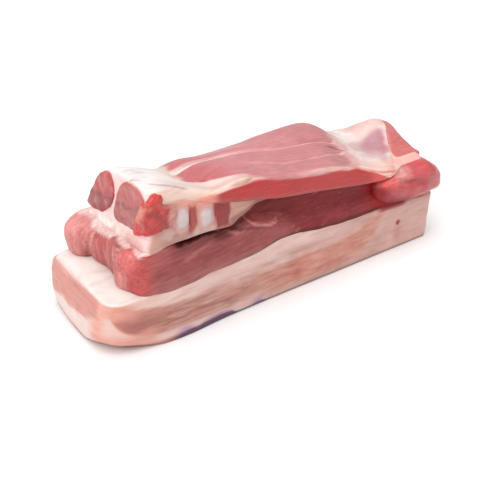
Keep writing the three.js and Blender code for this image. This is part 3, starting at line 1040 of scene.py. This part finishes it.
# %% Moist finish
TISSUE = {"Subsurface Weight": 0.15, "Subsurface Radius": (1.0, 0.4, 0.3), "Subsurface Scale": 0.002}
RIDGE, LEAN_BUMP, FAT_BUMP, WET = 0.0005, 0.3, 0.25, 0.4
LEAN_CHANGE, FAT_LIGHTER, FAT_DARKER = (0.14, 0.2, 0.2), (0.05, 0.09, 0.1), (0.1, 0.17, 0.19)
FLECK, LINE = (*colour(0xD4A096), 1.0), (0.62, 0.52, 0.46, 1.0)
UNTURNED = (0.0, 0.0, 0.0)


def start_material(name, group, turn):
    """A new material with its painted tint and a turned grain group."""
    material = bpy.data.materials.new(name)
    material.use_nodes = True
    tree = material.node_tree
    painted = add(tree, "Attribute", attribute_name="tint").outputs
    place = add(tree, "TexCoord").outputs["Object"]
    grain = tree.nodes.new("ShaderNodeGroup")
    grain.node_tree = group
    turned = add(tree, "Mapping", {"Vector": place, "Rotation": turn}).outputs["Vector"]
    fill(grain.inputs["Place"], turned)
    return material, tree, painted, grain.outputs


def changed(tree, painted, contrast, change):
    """The painted colour, lighter or darker by a part of each channel."""
    factors = tuple(1 + contrast * part for part in change) + (1.0,)
    return mix(tree, 1.0, painted, factors, "MULTIPLY")


def moist(tree, base, height, roughness, bump, wet):
    """Feeds the Principled shader of a moist tissue."""
    ridges = add(tree, "Bump", {"Height": height, "Strength": bump, "Distance": RIDGE})
    feeds = {"Base Color": base, "Roughness": roughness, "Specular IOR Level": wet}
    feeds["Normal"] = ridges.outputs["Normal"]
    for socket, value in {**feeds, **TISSUE}.items():
        fill(tree.nodes["Principled BSDF"].inputs[socket], value)


# %% Lean finish and fat finish
def lean_finish(name, turn=UNTURNED, contrast=1.0, flecks=0.2, rough=(0.3, 0.5), wet=WET):
    """Lean: darker and lighter along the fibres, slowly mottled, with thin flecks of fat."""
    material, tree, painted, grain = start_material(name, muscle_grain, turn)
    darker = changed(tree, painted["Color"], -contrast, LEAN_CHANGE)
    lighter = changed(tree, painted["Color"], contrast, LEAN_CHANGE)
    fibre = maths(tree, "MULTIPLY", grain["Fibre"], 0.6)
    mottle = maths(tree, "MULTIPLY", grain["Mottle"], 0.4)
    base = mix(tree, ramp(tree, maths(tree, "ADD", fibre, mottle), 0.35, 0.65), darker, lighter)
    base = mix(tree, maths(tree, "MULTIPLY", grain["Flecks"], flecks), base, FLECK)
    moist(tree, base, grain["Height"], ramp(tree, grain["Mottle"], 0.3, 0.7, *rough), LEAN_BUMP, wet)
    return material


def fat_finish(name, contrast=1.0, rough=(0.35, 0.55)):
    """Fat: soft clouds, darker strands along the layers, fine lines where the tint's alpha asks."""
    material, tree, painted, grain = start_material(name, fat_grain, UNTURNED)
    lighter = changed(tree, painted["Color"], contrast, FAT_LIGHTER)
    darker = changed(tree, painted["Color"], -contrast, FAT_DARKER)
    base = mix(tree, ramp(tree, grain["Clouds"], 0.35, 0.65), painted["Color"], lighter)
    base = mix(tree, ramp(tree, grain["Strands"], 0.5, 0.72), base, darker)
    line = mix(tree, 1.0, base, LINE, "MULTIPLY")
    base = mix(tree, maths(tree, "MULTIPLY", grain["Lines"], painted["Alpha"]), base, line)
    moist(tree, base, grain["Height"], ramp(tree, grain["Clouds"], 0.3, 0.7, *rough), FAT_BUMP, WET)
    return material


# %% Dressing a piece
def dress(piece, material, slot, *nodes):
    """Gives a piece its finish and its body, hides the solids that it stands for and prints its slot."""
    piece.data.materials.append(material)
    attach(piece, "root")
    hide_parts(*nodes)
    print("dressed", piece.name, "as", slot)


# %% [markdown]
# ## Belly fat
#
# The slab's fat is nearly white on the ledge and at the left end, and pinker on the cut sides, where
# the layers show as level bands. The corner is a warm orange pink. The rind is a thin brown line at the
# bottom edge. A violet smear of ink sits on the front's lower edge, and a dark red spot of blood near the
# right end. A dark red line along the front's upper edge under the bulge is blood and painted shade. The
# streak is brown with olive and dark lines at the left and salmon at the right. Slab and streak share one
# set of colours, so the band's rim doesn't show.

# %% Shades of the slab
FAT = shades(
    white=0xDED4CF, pink=0xCDA096, beige=0xBC9084, pale=0xE2BFB6, right=0xE0B4A8, blots=0xE4CCC8,
    end=0xDDC4BF, corner=0xD69482, flush=0xC4827A, over_streak=0xE8C6BA, shaded=0x96544C,
    low_corner=0xDC9482, rind=0xA07A6C, corner_rind=0xB0705E, ink=0x583450, pale_ink=0xB086AA,
    blood=0x96202A, blood_line=0x96242A,
)
STREAK = shades(
    brown=0xBF7B70, olive=0xC49C8D, dark=0x9E6057, salmon=0xC88878, light=0xDAA898, russet=0xB26A5C,
    knot=0xB05C54, orange=0xE09C8A, end=0xC6867C,
)

# %% Streak colours
streak_core = curve(
    (-137, 28), (-133, 26), (-126, 20), (-113, 20), (-92, 15), (-76, 17.5), (-60, 14), (-40, 15)
)


def streak_colours(points, left_end):
    x, y, z = points.T
    lines = patches(points, -0.1, 0.4, (1, (40, 40, 2.2), 94), (0.5, (14, 14, 1.4), 95))
    dark_lines = patches(points, 0.15, 0.4, (1, (60, 60, 2.4), 123), (0.5, (18, 18, 1.6), 124))
    mottle = uneven(points, (1, (18, 18, 5), 132), (0.6, (6, 6, 2.2), 133))
    core_half = between(4.5, 1.1, ease(x, -125, -85))
    core = stripe(z + 1.5 * lumps(points, 9, 122), streak_core(x), core_half)
    to_right = ease(x, -40, 0)
    return paint(
        STREAK.brown,
        (STREAK.olive, between(0.3, 1.0, lines) * ease(x, -125, -95)),
        (STREAK.dark, 0.5 * dark_lines * span(x, -134, -122, -25, -5)),
        (STREAK.salmon, to_right),
        (STREAK.light, 0.45 * ease(mottle, 0.0, 0.7) * to_right),
        (STREAK.russet, 0.5 * ease(mottle, -0.15, -0.6) * to_right),
        (STREAK.dark, between(0.5, 0.65, ease(x, -110, -80)) * span(x, -137, -128, -55, -38) * core),
        (STREAK.knot, 0.85 * hill(x, 5, 5) * hill(z, 14, 4)),
        (STREAK.orange, 0.8 * ease(x, -108, -126) * ease(z, 24, 33) * ease(y, -34, -41)),
        (STREAK.end, left_end),
    )


# %% Slab colours
ink_top = curve(
    (-106, 1.5), (-95, 3.4), (-78, 4.0), (-65, 5.0), (-52, 4.4), (-46, 1.5), (-28, 2.5), (-20, 0.5)
)


def belly_colours(points, normals):
    """The slab's fat with its streak of lean."""
    x, y, z = points.T
    deep = ledge(x) - z
    left_end, front = ease(-normals[:, 0], 0.55, 0.85), ease(-normals[:, 1], 0.3, 0.7)
    bands = patches(points, -0.3, 0.5, (1, (90, 60, 3.6), 91), (0.5, (40, 40, 1.8), 92))
    clouds = patches(points, -0.4, 0.5, (1, (34, 34, 11), 115), (0.5, (9, 9, 6), 116))
    blots = patches(points, -0.1, 0.6, (1, (24, 24, 6), 127), (0.5, (8, 8, 3), 128))
    round_corner = ease(np.hypot(x - LEFT, y - FRONT), 30, 14)
    over_streak = ease(z, lean_over(x) - 2.5, lean_over(x) + 0.5) * span(x, -132, -120, -96, -80)
    under_streak = ease(z, lean_under(x) + 2, lean_under(x) - 0.5) * ease(x, -20, -50)
    ledge_fat = paint(FAT.white, (FAT.shaded, span(x, -12, 12, 116, 128) * ease(y, -37, -41)))
    rind_line = 2.0 + 0.7 * lumps(points, (14, 14, 30), 93)
    ink_blots = np.minimum(hill(x, -88, 6) + hill(x, -61, 11) + hill(x, -29, 5), 1)
    ink_line = ink_top(x) + 0.6 * lumps(points, 6, 117)
    ink = span(x, -104, -92, -24, -18) * ease(z, ink_line + 0.8, ink_line - 0.8) * ease(y, -38, -42)
    return paint(
        FAT.pink,
        (FAT.beige, 0.8 * between(bands, clouds, ease(x, -20, 40))),
        (FAT.right, 0.35 * front * ease(x, 80, 100)),
        (FAT.pale, 0.75 * ease(deep, 14, 7) * ease(x, 70, 10)),
        (FAT.blots, 0.4 * front * blots * span(x, -100, -70, 20, 60)),
        (FAT.corner, round_corner),
        (FAT.end, left_end * (1 - 0.85 * round_corner)),
        (FAT.flush, 0.6 * front * hill(x, 107, 4) * span(z, 4, 10, 18, 24)),
        (FAT.over_streak, 0.8 * front * over_streak),
        (FAT.pale, 0.9 * front * under_streak),
        (streak_colours(points, left_end), streak_share(points)),
        (ledge_fat, ease(normals[:, 2], 0.5, 0.95) * ease(deep, 5, 2.5)),
        (FAT.low_corner, 0.7 * ease(z, 18, 12) * ease(x, -104, -115) * ease(y, -18, -32)),
        # Blood and painted shade: a dark red line along the front's upper edge under the bulge.
        (FAT.blood_line, 0.9 * front * span(x, 80, 88, 108, 116) * ease(deep, 4.5, 2.0)),
        (FAT.rind, ease(z, rind_line + 0.9, rind_line - 0.6) * ease(x, -75, -40)),
        (FAT.corner_rind, ease(z, 4.5, 1.5) * ease(x, -75, -100)),
        (FAT.pale_ink, 0.85 * front * ink_blots * ease(z, 8.0, 5.0)),
        (FAT.ink, 0.95 * ink),
        (FAT.blood, front * ease(np.hypot(x - 106.2, z - 23.1), 2.9, 1.4)),
    )


# %% Paint the slab and the streak
for piece in (slab, streak):
    points = points_of(piece)
    lined = 0.15 + 0.55 * streak_share(points) * span(points[:, 0], -128, -112, -20, 30)
    tint(piece, belly_colours(points, read(piece, "normal")), lined)
dress(slab, fat_finish("belly_fat", contrast=0.75), "fat", "belly_fat")
dress(streak, fat_finish("streak_lean"), "pale_lean", "streak_lean")

# %% [markdown]
# ## Lean
#
# The middle layer is dark red brown on the front. Shade is painted onto it: a deeper red in the recess
# under the strip and under the bulge, and a nearly black shadow in the crack under the rib plate. Its cut
# left end is paler, with white threads in the grooves between the muscles, and the corner between the two
# is a brighter red. Thin pale membranes run along the lobe. The recess is the clearest red: elsewhere a
# trace of white is added to all channels as a painted sheen, and the whole layer reflects less than the
# rest.

# %% Shades of the middle lean
LEAN = shades(
    front=0x934443, low=0xA6645C, recess=0x872C30, recess_left=0x7A2627, recess_foot=0x964240,
    deep=0x8E1218, left=0xBA6260, shade=0x703230, crack=0x3A0608, foot=0x542822, over_lobe=0x965853,
    shelf=0x70302E, lobe_line=0x582020, membrane=0xC8847D, cut=0xCE8380, cut_dark=0xA84E4B,
    corner=0xB24A47, corner_top=0xC8625F, groove=0xCE968E, back_top=0xD48C87, smear=0xE2C4BE,
)

# %% Middle lean colours
# A trace of white painted on as sheen, and a low specular level for the whole layer.
PAINTED_SHEEN, DULL = 0.02, 0.15
lobe_membrane = curve(
    (-38, 70), (-36, 66.6), (-33.6, 64.3), (-26.1, 61.6), (-19.4, 59.8), (-14.2, 59.8), (-11, 61.5)
)
lobe_line = curve((-54, 64.5), (-42.7, 63.2), (-26.4, 59.7), (-8.4, 54.7), (-2, 52))


def middle_colours(points, normals):
    x, y, z = points.T
    upward, front = normals[:, 2], ease(y, -28, -36)
    fold = np.maximum(lobe_top(x), 0)
    recess = front * np.maximum(ease(z, fold - 2, fold + 5), ease(x, -8, 14)) * ease(x, -48, -30)
    sheer = ease(upward, 0.5, 0.25)
    under_plate = lean_top(x, y) - z
    crack = 4.0 + lumps(points, 5, 118) + 2.2 * ease(x, -72, -54)
    crack_shadow = front * span(x, -94, -89, -52, -42) * ease(under_plate, crack + 0.8, crack - 0.6)
    foot_shade_line = ease(z, ledge(x) + 2.6, ledge(x) + 0.6) * span(x, -60, 0, 82, 92)
    over_lobe = z - lobe_line(x)
    lobe_shade = stripe(over_lobe + 0.8 * lumps(points, 5, 137), 0.2, 1.1) * span(x, -60, -54, -34, -18)
    membrane = stripe(z, lobe_membrane(x), 0.8) * span(x, -39, -37, -13, -10.5)
    face = paint(
        LEAN.front,
        (LEAN.low, 0.8 * front * ease(z, 50, 41)),
        # Painted shade in the recess under the strip.
        (paint(LEAN.recess, (LEAN.recess_left, ease(x, 20, -10))), recess),
        # Less of the painted shade where the recess faces up.
        (LEAN.recess_foot, 0.6 * recess * (1 - sheer) * ease(x, 8, -12)),
        # Deep red painted shade in the slit between the recess and the bulge.
        (LEAN.deep, 0.9 * recess * hill(x, 81, 9)),
        # Deep red painted shade on the front under the bulge.
        (LEAN.deep, 0.9 * front * span(x, 82, 88, 108, 116)),
        (LEAN.left, 0.8 * front * ease(x, -90, -106) * ease(z, 50, 62)),
        (LEAN.shade, 0.7 * front * span(x, -98, -86, -58, -44) * ease(under_plate, crack + 10, crack)),
        # Near-black painted shadow in the crack under the rib plate.
        (LEAN.crack, crack_shadow),
        # Dark painted shade line where the lean meets the ledge.
        (LEAN.foot, 0.75 * front * foot_shade_line),
        (LEAN.over_lobe, 0.7 * front * ease(over_lobe, 0.5, 2) * span(x, -56, -50, -42, -34)),
        # Painted shade on the upward step of the lean under the rib plate.
        (LEAN.shelf, 0.75 * front * ease(upward, 0.45, 0.8) * span(x, -66, -58, -42, -28)),
        (LEAN.lobe_line, 0.75 * front * lobe_shade),
        (LEAN.membrane, 0.75 * front * membrane),
        (LEAN.membrane, 0.35 * front * stripe(z - 0.34 * (x + 78), 57, 1.2) * hill(x, -77, 11)),
        (LEAN.membrane, 0.4 * front * stripe(z + 0.1 * (x + 48), 62, 0.8) * hill(x, -48, 8)),
    )
    left_end = ease(-normals[:, 0], 0.35, 0.85) * ease(x, -100, -112)
    upright = patches(points, -0.4, 0.4, (1, (5, 4, 30), 15), (0.6, (3, 2, 14), 17))
    paler = between(-0.3, 0.4, upright) + 0.9 * ease(y, 11, 17) + 0.6 * ease(y, -14, -20)
    from_top = np.sqrt(((x + 121) / 9) ** 2 + ((y + 34) / 9) ** 2 + ((z - 63) / 9) ** 2)
    threads = patches(points, 0.15, 0.5, (1, (6, 6, 4), 96), (0.5, 2.5, 97))
    smear = between(0.65, 0.95, patches(points, -0.2, 0.4, (1, 8, 129)))
    ragged = uneven(points, (3.0, (12, 11, 12), 112), (1.2, 6, 119))
    smeared = ease(upward, 0.3, 0.7) * ease(x + ragged, -118.2, -115.2) * ease(x, -98, -104)
    face = paint(
        face,
        (paint(LEAN.cut_dark, (LEAN.cut, paler)), left_end),
        (LEAN.corner, ease(np.hypot((x + 120) / 14, (y + 43) / 12), 1.2, 0.4)),
        (LEAN.corner_top, 0.85 * ease(from_top, 1.3, 0.4)),
        (LEAN.groove, 0.4 * muscle_grooves(points)),
        (FAT.white, 0.5 * threads * ease(z, 62, 68) * ease(x, -102, -110)),
        (LEAN.back_top, 0.7 * ease(upward, 0.5, 0.85) * ease(x, -106, -114) * ease(y, 4, 14)),
        (LEAN.smear, smear * smeared),
    )
    # Painted sheen: a trace of white everywhere but on the recess's painted shade and the crack's painted
    # shadow.
    return face + PAINTED_SHEEN * (1 - np.maximum(recess * sheer, crack_shadow))[:, None]


# %% Paint the middle lean
tint(middle, middle_colours(points_of(middle), read(middle, "normal")))
middle_finish = lean_finish("middle_lean", turn=(0.0, 0.12, 0.0), wet=DULL)
dress(middle, middle_finish, "dark_lean", "middle_lean")

# %% [markdown]
# ## Muscle ends
#
# The bulge at the right is bright and wet, with a pale membrane over its inner side. It carries painted
# light and shade: a highlight on its crest, a lighter upper left, partly its own red and partly painted
# light, and deep red painted shade at its left end, where it meets the recess, and underneath. The corner
# piece has an orange painted highlight along its upper left and a margin of fat at its right. The tip is
# a rosy wedge.

# %% Muscle end colours
GLOSSY = (0.22, 0.4)
BULGE = shades(
    red=0xBC5254, inner=0xBA565C, crest=0xCA5256, membrane=0xD69E98, left=0x9E3E48, deep=0x8C1016,
    coral=0xE06660, low=0xD07674, under=0x8E141C,
)
points, normals = points_of(end_lean), read(end_lean, "normal")
x, z = points[:, 0], points[:, 2]
strands = between(0.4, 0.9, patches(points, -0.3, 0.4, (1, (2.6, 12, 14), 106)))
underside = np.maximum(ease(-normals[:, 2], 0.1, 0.6), ease(z + 0.1 * (x - 100), 46.5, 42.5))
bulge_colours = paint(
    BULGE.red,
    (BULGE.inner, ease(x, 112, 96)),
    # Painted highlight on the bulge's upper right crest.
    (BULGE.crest, 0.8 * hill(x, 125, 8) * hill(z, 67, 5)),
    (BULGE.membrane, strands * ease(np.hypot((x - 101) / 12, (z - 68) / 10), 1.3, 0.3)),
    # Darker towards the left end: partly the bulge's own mauve, partly painted shade by the slit.
    (BULGE.left, 0.8 * ease(x, 98, 88)),
    # Deep red painted shade in the slit at the left end.
    (BULGE.deep, ease(x, 91, 84)),
    # A lighter upper left: partly the bulge's own red, partly painted light against the shade under the
    # strip.
    (BULGE.coral, 0.9 * span(x, 80, 85, 90, 104) * ease(z, 55, 61)),
    (BULGE.low, 0.7 * ease(z, 49, 43) * ease(x, 106, 120)),
    # Deep red painted shade on the underside.
    (BULGE.under, 0.95 * underside * ease(x, 122, 106)),
)
tint(end_lean, bulge_colours)
dress(end_lean, lean_finish("end_lean", rough=GLOSSY, flecks=0.1), "red_lean", "end_lean")

# %% Corner colours
CORNER = shades(
    red=0xC24442, dark=0xA03636, fatty=0xBA8076, fringe=0xD48A74, foot=0xC43A3A, knob=0xBE423E,
    inner=0xA04240, margin=0xCE928A,
)
points = points_of(corner_lean)
x, y, z = points.T
behind_slope = y + 25 + 0.77 * (z - 74)
corner_colours = paint(
    CORNER.red,
    (CORNER.dark, 0.85 * patches(points, -0.2, 0.4, (1, 6, 107))),
    (CORNER.fatty, 0.45 * patches(points, 0.2, 0.5, (1, 4, 120))),
    # Orange painted highlight along the upper left edge.
    (CORNER.fringe, 0.8 * ease(behind_slope, -6, -1) * ease(x, -104, -108.5) * ease(z, 82, 88)),
    (CORNER.foot, 0.9 * ease(x, -97, -105) * ease(z, 87, 83)),
    (CORNER.knob, ease(z, 96, 99.5)),
    (CORNER.inner, 0.8 * ease(x, -106, -101) * ease(z, 90, 86)),
    (CORNER.margin, 0.85 * ease(x + 2 * lumps(points, 5, 131), -97.5, -94)),
)
tint(corner_lean, corner_colours)
corner_finish = lean_finish("corner_lean", turn=(0.0, 0.6, 0.3), rough=GLOSSY)
dress(corner_lean, corner_finish, "red_lean", "corner_lean")

# %% Tip colours
TIP = shades(front=0xBE6461, back=0xC07270)
tint(tip_lean, paint(TIP.front, (TIP.back, ease(points_of(tip_lean)[:, 1], -20, 0))))
dress(tip_lean, lean_finish("tip_lean", turn=(0.0, 0.2, 0.8)), "red_lean", "tip_lean")

# %% [markdown]
# ## The top of the rib plate
#
# From above, fat and muscle fade into one another: a thin membrane makes the muscles mauve, pale seams
# part them, and the fat runs over them at both ends. Separate finishes would show hard edges there. So
# one function gives the fat's colour at any place, a second lays the lean over it, and every piece that
# reaches the top is painted with both.

# %% Shades of the plate's top
COVER = shades(
    cream=0xDEC6BE, warm=0xE2D0C2, left=0xE6DCD8, pink=0xD6A296, vein=0xB09AA2, right=0xDAC6C2,
    haze=0xF0E4DE, past_muscles=0xC08A87, back_right=0xD6ACA6, grey=0xBEA09E, violet=0xAD7983,
    violet_pink=0xB2626C, strip_end=0xD6A09A, peach=0xE4B8AC, tip=0xE2A29A, fold=0xD09288,
)
TOP = shades(
    mauve=0xC17D7F, left=0xBD6769, right=0xBA787A, seam_white=0xE0C8C4, seam_pink=0xD8ACA9,
    wedge=0x8E4644,
)

# %% Fat from above
long_vein = curve((-103, -30), (-100, -33), (-93, -38), (-84, -41), (-79, -42))
short_vein = curve((-109, -20), (-102, -25.5))


def plate_fat(points):
    """The fat from above: cream at the left, pink by the strip, white, grey and violet at the right."""
    x, y = points[:, 0], points[:, 1]
    along, slant = x + y, x - y
    wander = lumps(points, (14, 10, 10), 101)
    pink_lines = between(0.0, 0.75, patches(points, -0.3, 0.4, (1, (24, 5, 10), 104)))
    haze = patches(points, 0.0, 0.5, (1, (10, 6, 8), 134), (0.6, (4, 3, 4), 135))
    grey = ease(np.hypot((x - 95) / 11, (y + 6) / 10) + 0.35 * wander, 1.2, 0.5)
    from_violet = np.hypot((along - 97) / 27, (slant - 122) / 19)
    from_violet = from_violet + uneven(points, (0.35, (20, 16, 16), 114), (0.25, (8, 7, 7), 125))
    violet_share = between(0.6, 0.95, ease(along, 78, 98)) * ease(slant, 90, 112) * ease(y, 5, -2)
    violet_to_pink = (COVER.violet_pink, ease(slant + 4 * wander, 120, 136) * ease(along, 84, 100))
    return paint(
        COVER.cream,
        (COVER.warm, 0.6 * patches(points, 0.0, 0.5, (1, (16, 8, 10), 103))),
        (COVER.left, np.maximum(ease(x, -84, -100), ease(x, -66, -84) * ease(y, -34, -22))),
        (COVER.pink, pink_lines * ease(x, -84, -52) * ease(y, -26, -40)),
        (COVER.vein, 0.3 * patches(points, 0.2, 0.6, (1, (18, 4, 8), 105)) * ease(x, -68, -80)),
        (COVER.vein, 0.8 * stripe(y, long_vein(x), 1.3) * span(x, -104, -99, -84, -78)),
        (COVER.vein, 0.7 * stripe(y, short_vein(x), 1.1) * ease(x, -101, -104)),
        (COVER.right, ease(x, 56, 84)),
        (COVER.haze, 0.7 * haze * ease(x, 60, 76)),
        (COVER.past_muscles, 0.75 * ease(x - cover_right(y) + 3 * wander, 11, 3) * ease(x, 50, 60)),
        (COVER.back_right, 0.75 * ease(y + 3 * wander, -4, 5) * ease(x, 98, 110)),
        (COVER.grey, 0.8 * grey),
        (paint(COVER.violet, violet_to_pink), violet_share * ease(from_violet, 1.25, 0.5)),
        (COVER.strip_end, 0.75 * hill(x, 68, 9) * hill(y, -30, 8)),
        (COVER.peach, 0.9 * ease(x, 72, 86) * ease(y, -24, -32)),
        (COVER.tip, 0.85 * ease(x, 100, 109) * ease(y, -27, -33)),
        (COVER.fold, 0.55 * stripe(x - 0.87 * y + 2 * wander, 134, 1.8) * ease(y, -6, -14)),
    )


# %% Lean from above
seam_width = curve((-70, 4.2), (-50, 3.4), (-25, 2.3), (10, 1.6), (70, 1.2))
wedge_line = curve((58, -9), (63, -10.5), (72, -15))


def shows(points):
    """How much of a muscle's top shows from under the fat cover."""
    x, y = points[:, 0], points[:, 1]
    from_left = x - cover_left(y) + 3.0 * lumps(points, (22, 5, 8), 98)
    from_right = cover_right(y) - x + 2.0 * lumps(points, (18, 14, 14), 111)
    return ease(from_left, -3, 5) * ease(from_right, -3, 6)


def top_colours(points):
    """Mauve lean between pale seams, fading into the fat."""
    x, y = points[:, 0], points[:, 1]
    wander = 0.8 * lumps(points, 14, 99)
    back_seam = stripe(y + wander, seam_back(x), seam_width(x))
    front_seam = stripe(y + wander, seam_front(x), 1.3) * ease(x, -20, -5)
    seam = paint(TOP.seam_white, (TOP.seam_pink, ease(x, -45, 0)))
    wedge = stripe(y, wedge_line(x), between(1.8, 0.9, ease(x, 62, 72))) * span(x, 57, 61, 70, 74)
    lean = paint(
        TOP.mauve,
        (TOP.left, ease(x, -20, -55)),
        (TOP.right, ease(x, 20, 60)),
        (seam, np.maximum(back_seam, front_seam)),
    )
    return paint(plate_fat(points), (lean, shows(points)), (TOP.wedge, 0.8 * wedge))


# %% [markdown]
# ## Muscles of the rib plate
#
# The two cut ovals are redder than the top. Each has a brighter upper lobe and a duller lower one with
# a dark line between them. The front strip is the brightest red of all, with a pale strand along its
# upper edge.

# %% Rib muscle colours
OVAL = shades(
    back_up=0xB24646, back_low=0x964043, mid_up=0xB65C5B, mid_low=0xA6605B, line=0x783838,
    marbled=0xC07A76,
)


def cut_colours(points, upper, lower):
    """The cut oval: two lobes with a dark line between, mottled."""
    height = points[:, 2] + 0.15 * points[:, 1] + 1.5 * lumps(points, 8, 100)
    return paint(
        lower,
        (upper, ease(height, 84, 90)),
        (OVAL.line, 0.65 * stripe(height, 86, 0.9)),
        (OVAL.marbled, 0.5 * patches(points, 0.1, 0.5, (1, 5, 108))),
        (OVAL.line, 0.4 * patches(points, 0.2, 0.6, (1, 4, 121))),
    )


for muscle, upper, lower, node in (
    (back_muscle, OVAL.back_up, OVAL.back_low, "rib_lean_back"),
    (middle_muscle, OVAL.mid_up, OVAL.mid_low, "rib_lean_middle"),
):
    points = points_of(muscle)
    face = ease(points[:, 0], MUSCLE_FACE + 0.6, MUSCLE_FACE - 0.6)
    tint(muscle, paint(top_colours(points), (cut_colours(points, upper, lower), face)))
    dress(muscle, lean_finish(node, contrast=0.6, flecks=0.12), "mauve_lean", node)

# %% Strip colours
STRIP = shades(red=0xB93737, low=0xAC4C4A, strand=0xD8ACA4, left=0xE29684, right=0xDE5852)
EDGE_SOFT, STRAND_AT = 0.8, FRONT + 3
points = points_of(front_muscle)
x, y, z = points.T
below = strip_top(x, y) - z
red_edge = between(0.6, 2.4, ease(x, -30, -8)) - 1.2 * ease(x, 20, 42) - 1.6 * ease(x, 46, 60)
red_edge = red_edge + 3.6 * ease(x, 74, 92) + 0.5 * lumps(points, 12, 113)
over_edge = ease(below, red_edge + EDGE_SOFT, red_edge - EDGE_SOFT)
on_top = ease(y, FRONT + 1.5, FRONT + 5) * ease(below, 4, 1.5)
strand_half = between(0.9, 2.2, ease(x, 10, 45))
strand = ease(y, STRAND_AT + strand_half, STRAND_AT) * over_edge * span(x, -10, 30, 50, 64)
strip_colours = paint(
    STRIP.red,
    (STRIP.low, ease(z, strip_floor(x) + 4.5, strip_floor(x) + 1.5)),
    (top_colours(points), np.maximum(on_top, over_edge)),
    (STRIP.strand, 0.85 * strand),
    (STRIP.left, ease(x, -58, -66)),
    # Brighter red at the right end: partly the strip's own colour, partly painted light where it faces
    # down into shade.
    (STRIP.right, 0.8 * ease(x, 66, 80) * (1 - over_edge)),
)
tint(front_muscle, strip_colours)
strip_finish = lean_finish("rib_lean_front", contrast=0.7, flecks=0.1)
dress(front_muscle, strip_finish, "red_lean", "rib_lean_front")

# %% [markdown]
# ## Rib fat and bone
#
# The sides of the plate's fat differ from its top. The membrane between the ovals is pinkish white. The
# front is pinker above the sawn ribs and a greyish beige under them. The ribs are bluish white and fade
# into a warm rim. The front's colours are one function too, so that ribs, lean and fat meet without
# hard edges.

# %% Shades of the plate's sides
FACE = shades(
    tan=0xB88A7E, cream=0xCEA498, pink=0xD29186, corner=0xC89789, top=0xE8C8BA, orange=0xE69688,
    right=0xC09684, shaded=0x965E58, rib=0xD2BEBF, rib_rim=0xD6A49C,
)
PLATE = shades(
    left=0xECC6C2, orange=0xF09A90, foot_front=0xD09E98, foot_back=0xECDED8, foot_blots=0xD6A098,
)

# %% Colours of the plate's front
GAP_AREAS = ((-79.0, 82.6, 2.7, 10.0), (-57.4, 78.0, 6.0, 10.0))
GAP_REDS = colour(0xA84E49), colour(0x943735)
bone_line = curve((-96, 95), (-86, 93.6), (-78, 91.5), (-70, 90.3), (-58, 88.8), (-45, 86))


def front_colours(points):
    """The plate's front face: tan fat with the sawn ribs and the dark lean beside them."""
    x, z = points[:, 0], points[:, 2]
    over_ribs = z - bone_line(x)
    wobble, ragged = 0.18 * lumps(points, 5, 102), 0.35 * lumps(points, (4, 4, 7), 136)
    under_corner = ease(z - 0.25 * (x + 52), 74.8, 73.0) * ease(x, -54, -50)
    face = paint(
        FACE.tan,
        (FACE.cream, patches(points, -0.3, 0.4, (1, (7, 7, 5), 109), (0.5, (3, 3, 2.5), 110))),
        (FACE.pink, ease(x, -96, -90) * ease(z, 76, 82)),
        (FACE.corner, ease(x, -97, -105)),
        (FACE.top, ease(over_ribs, 1.0, 3.5)),
        (FACE.orange, 0.9 * stripe(over_ribs, 0.4, 2.4) * span(x, -92, -84, -58, -50)),
        (FACE.right, 0.8 * ease(x, -52, -46)),
        (FACE.shaded, 0.85 * under_corner),
    )
    for x0, z0, half_x, half_z in RIB_SIZES:
        from_axis = np.hypot((x - x0) / half_x, (z - z0) / half_z) + wobble
        rim, bone = ease(from_axis, 1.1, 0.75), ease(from_axis, 0.85, 0.45)
        face = paint(face, (FACE.rib_rim, rim), (FACE.rib, bone))
    for (x0, z0, half_x, half_z), red in zip(GAP_AREAS, GAP_REDS):
        from_axis = np.maximum(np.abs(x - x0) / half_x, np.abs(z - z0) / half_z) + ragged
        face = paint(face, (red, ease(from_axis, 1.15, 0.75) * ease(over_ribs, 1.5, -2.5)))
    return face


# %% Paint the plate's fat
points, normals = points_of(rib_fat), read(rib_fat, "normal")
x, y = points[:, 0], points[:, 1]
front = ease(-normals[:, 1], 0.3, 0.7)
foot = ease(x, -110, -113) * (1 - 0.8 * front)
plate_colours = paint(
    top_colours(points),
    (front_colours(points), front * ease(x, 30, 0)),
    (PLATE.left, ease(-normals[:, 0], 0.4, 0.8) * ease(x, -95, -104)),
    (PLATE.orange, 0.85 * front * span(x, 64, 74, 94, 100)),
    (paint(PLATE.foot_front, (PLATE.foot_back, ease(y, -32, 2))), foot),
    (PLATE.foot_blots, 0.6 * foot * patches(points, 0.0, 0.5, (1, (7, 7, 5), 126))),
)
tint(rib_fat, plate_colours)
dress(rib_fat, fat_finish("rib_fat", contrast=0.9), "cream_fat", "rib_fat")

# %% Paint the ribs
bone_finish = fat_finish("rib_bone", contrast=0.4, rough=(0.3, 0.45))
gap_finish = lean_finish("rib_gap_lean", turn=(0.0, 1.5, 0.0), contrast=0.6, flecks=0.05)
for number, (rib, lean) in enumerate(zip(ribs, gap_lean), start=1):
    tint(rib, front_colours(points_of(rib)))
    dress(rib, bone_finish, "bone", f"rib_bone_{number}")
    tint(lean, front_colours(points_of(lean)))
    dress(lean, gap_finish, "dark_lean", f"rib_gap_lean_{number}")

# %% [markdown]
# ## Size of the finished pieces
#
# The finished pieces have to stay inside the solids' box, apart from a small allowance. Both boxes, the
# solids' and the finished pieces', are written down, so that they can be compared after a run.

# %% Sizes
seen_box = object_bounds()
for name, box in (("solids' box", CAD_BOX), ("seen", seen_box)):
    print(name, [[round(v, 4) for v in c] for c in box])
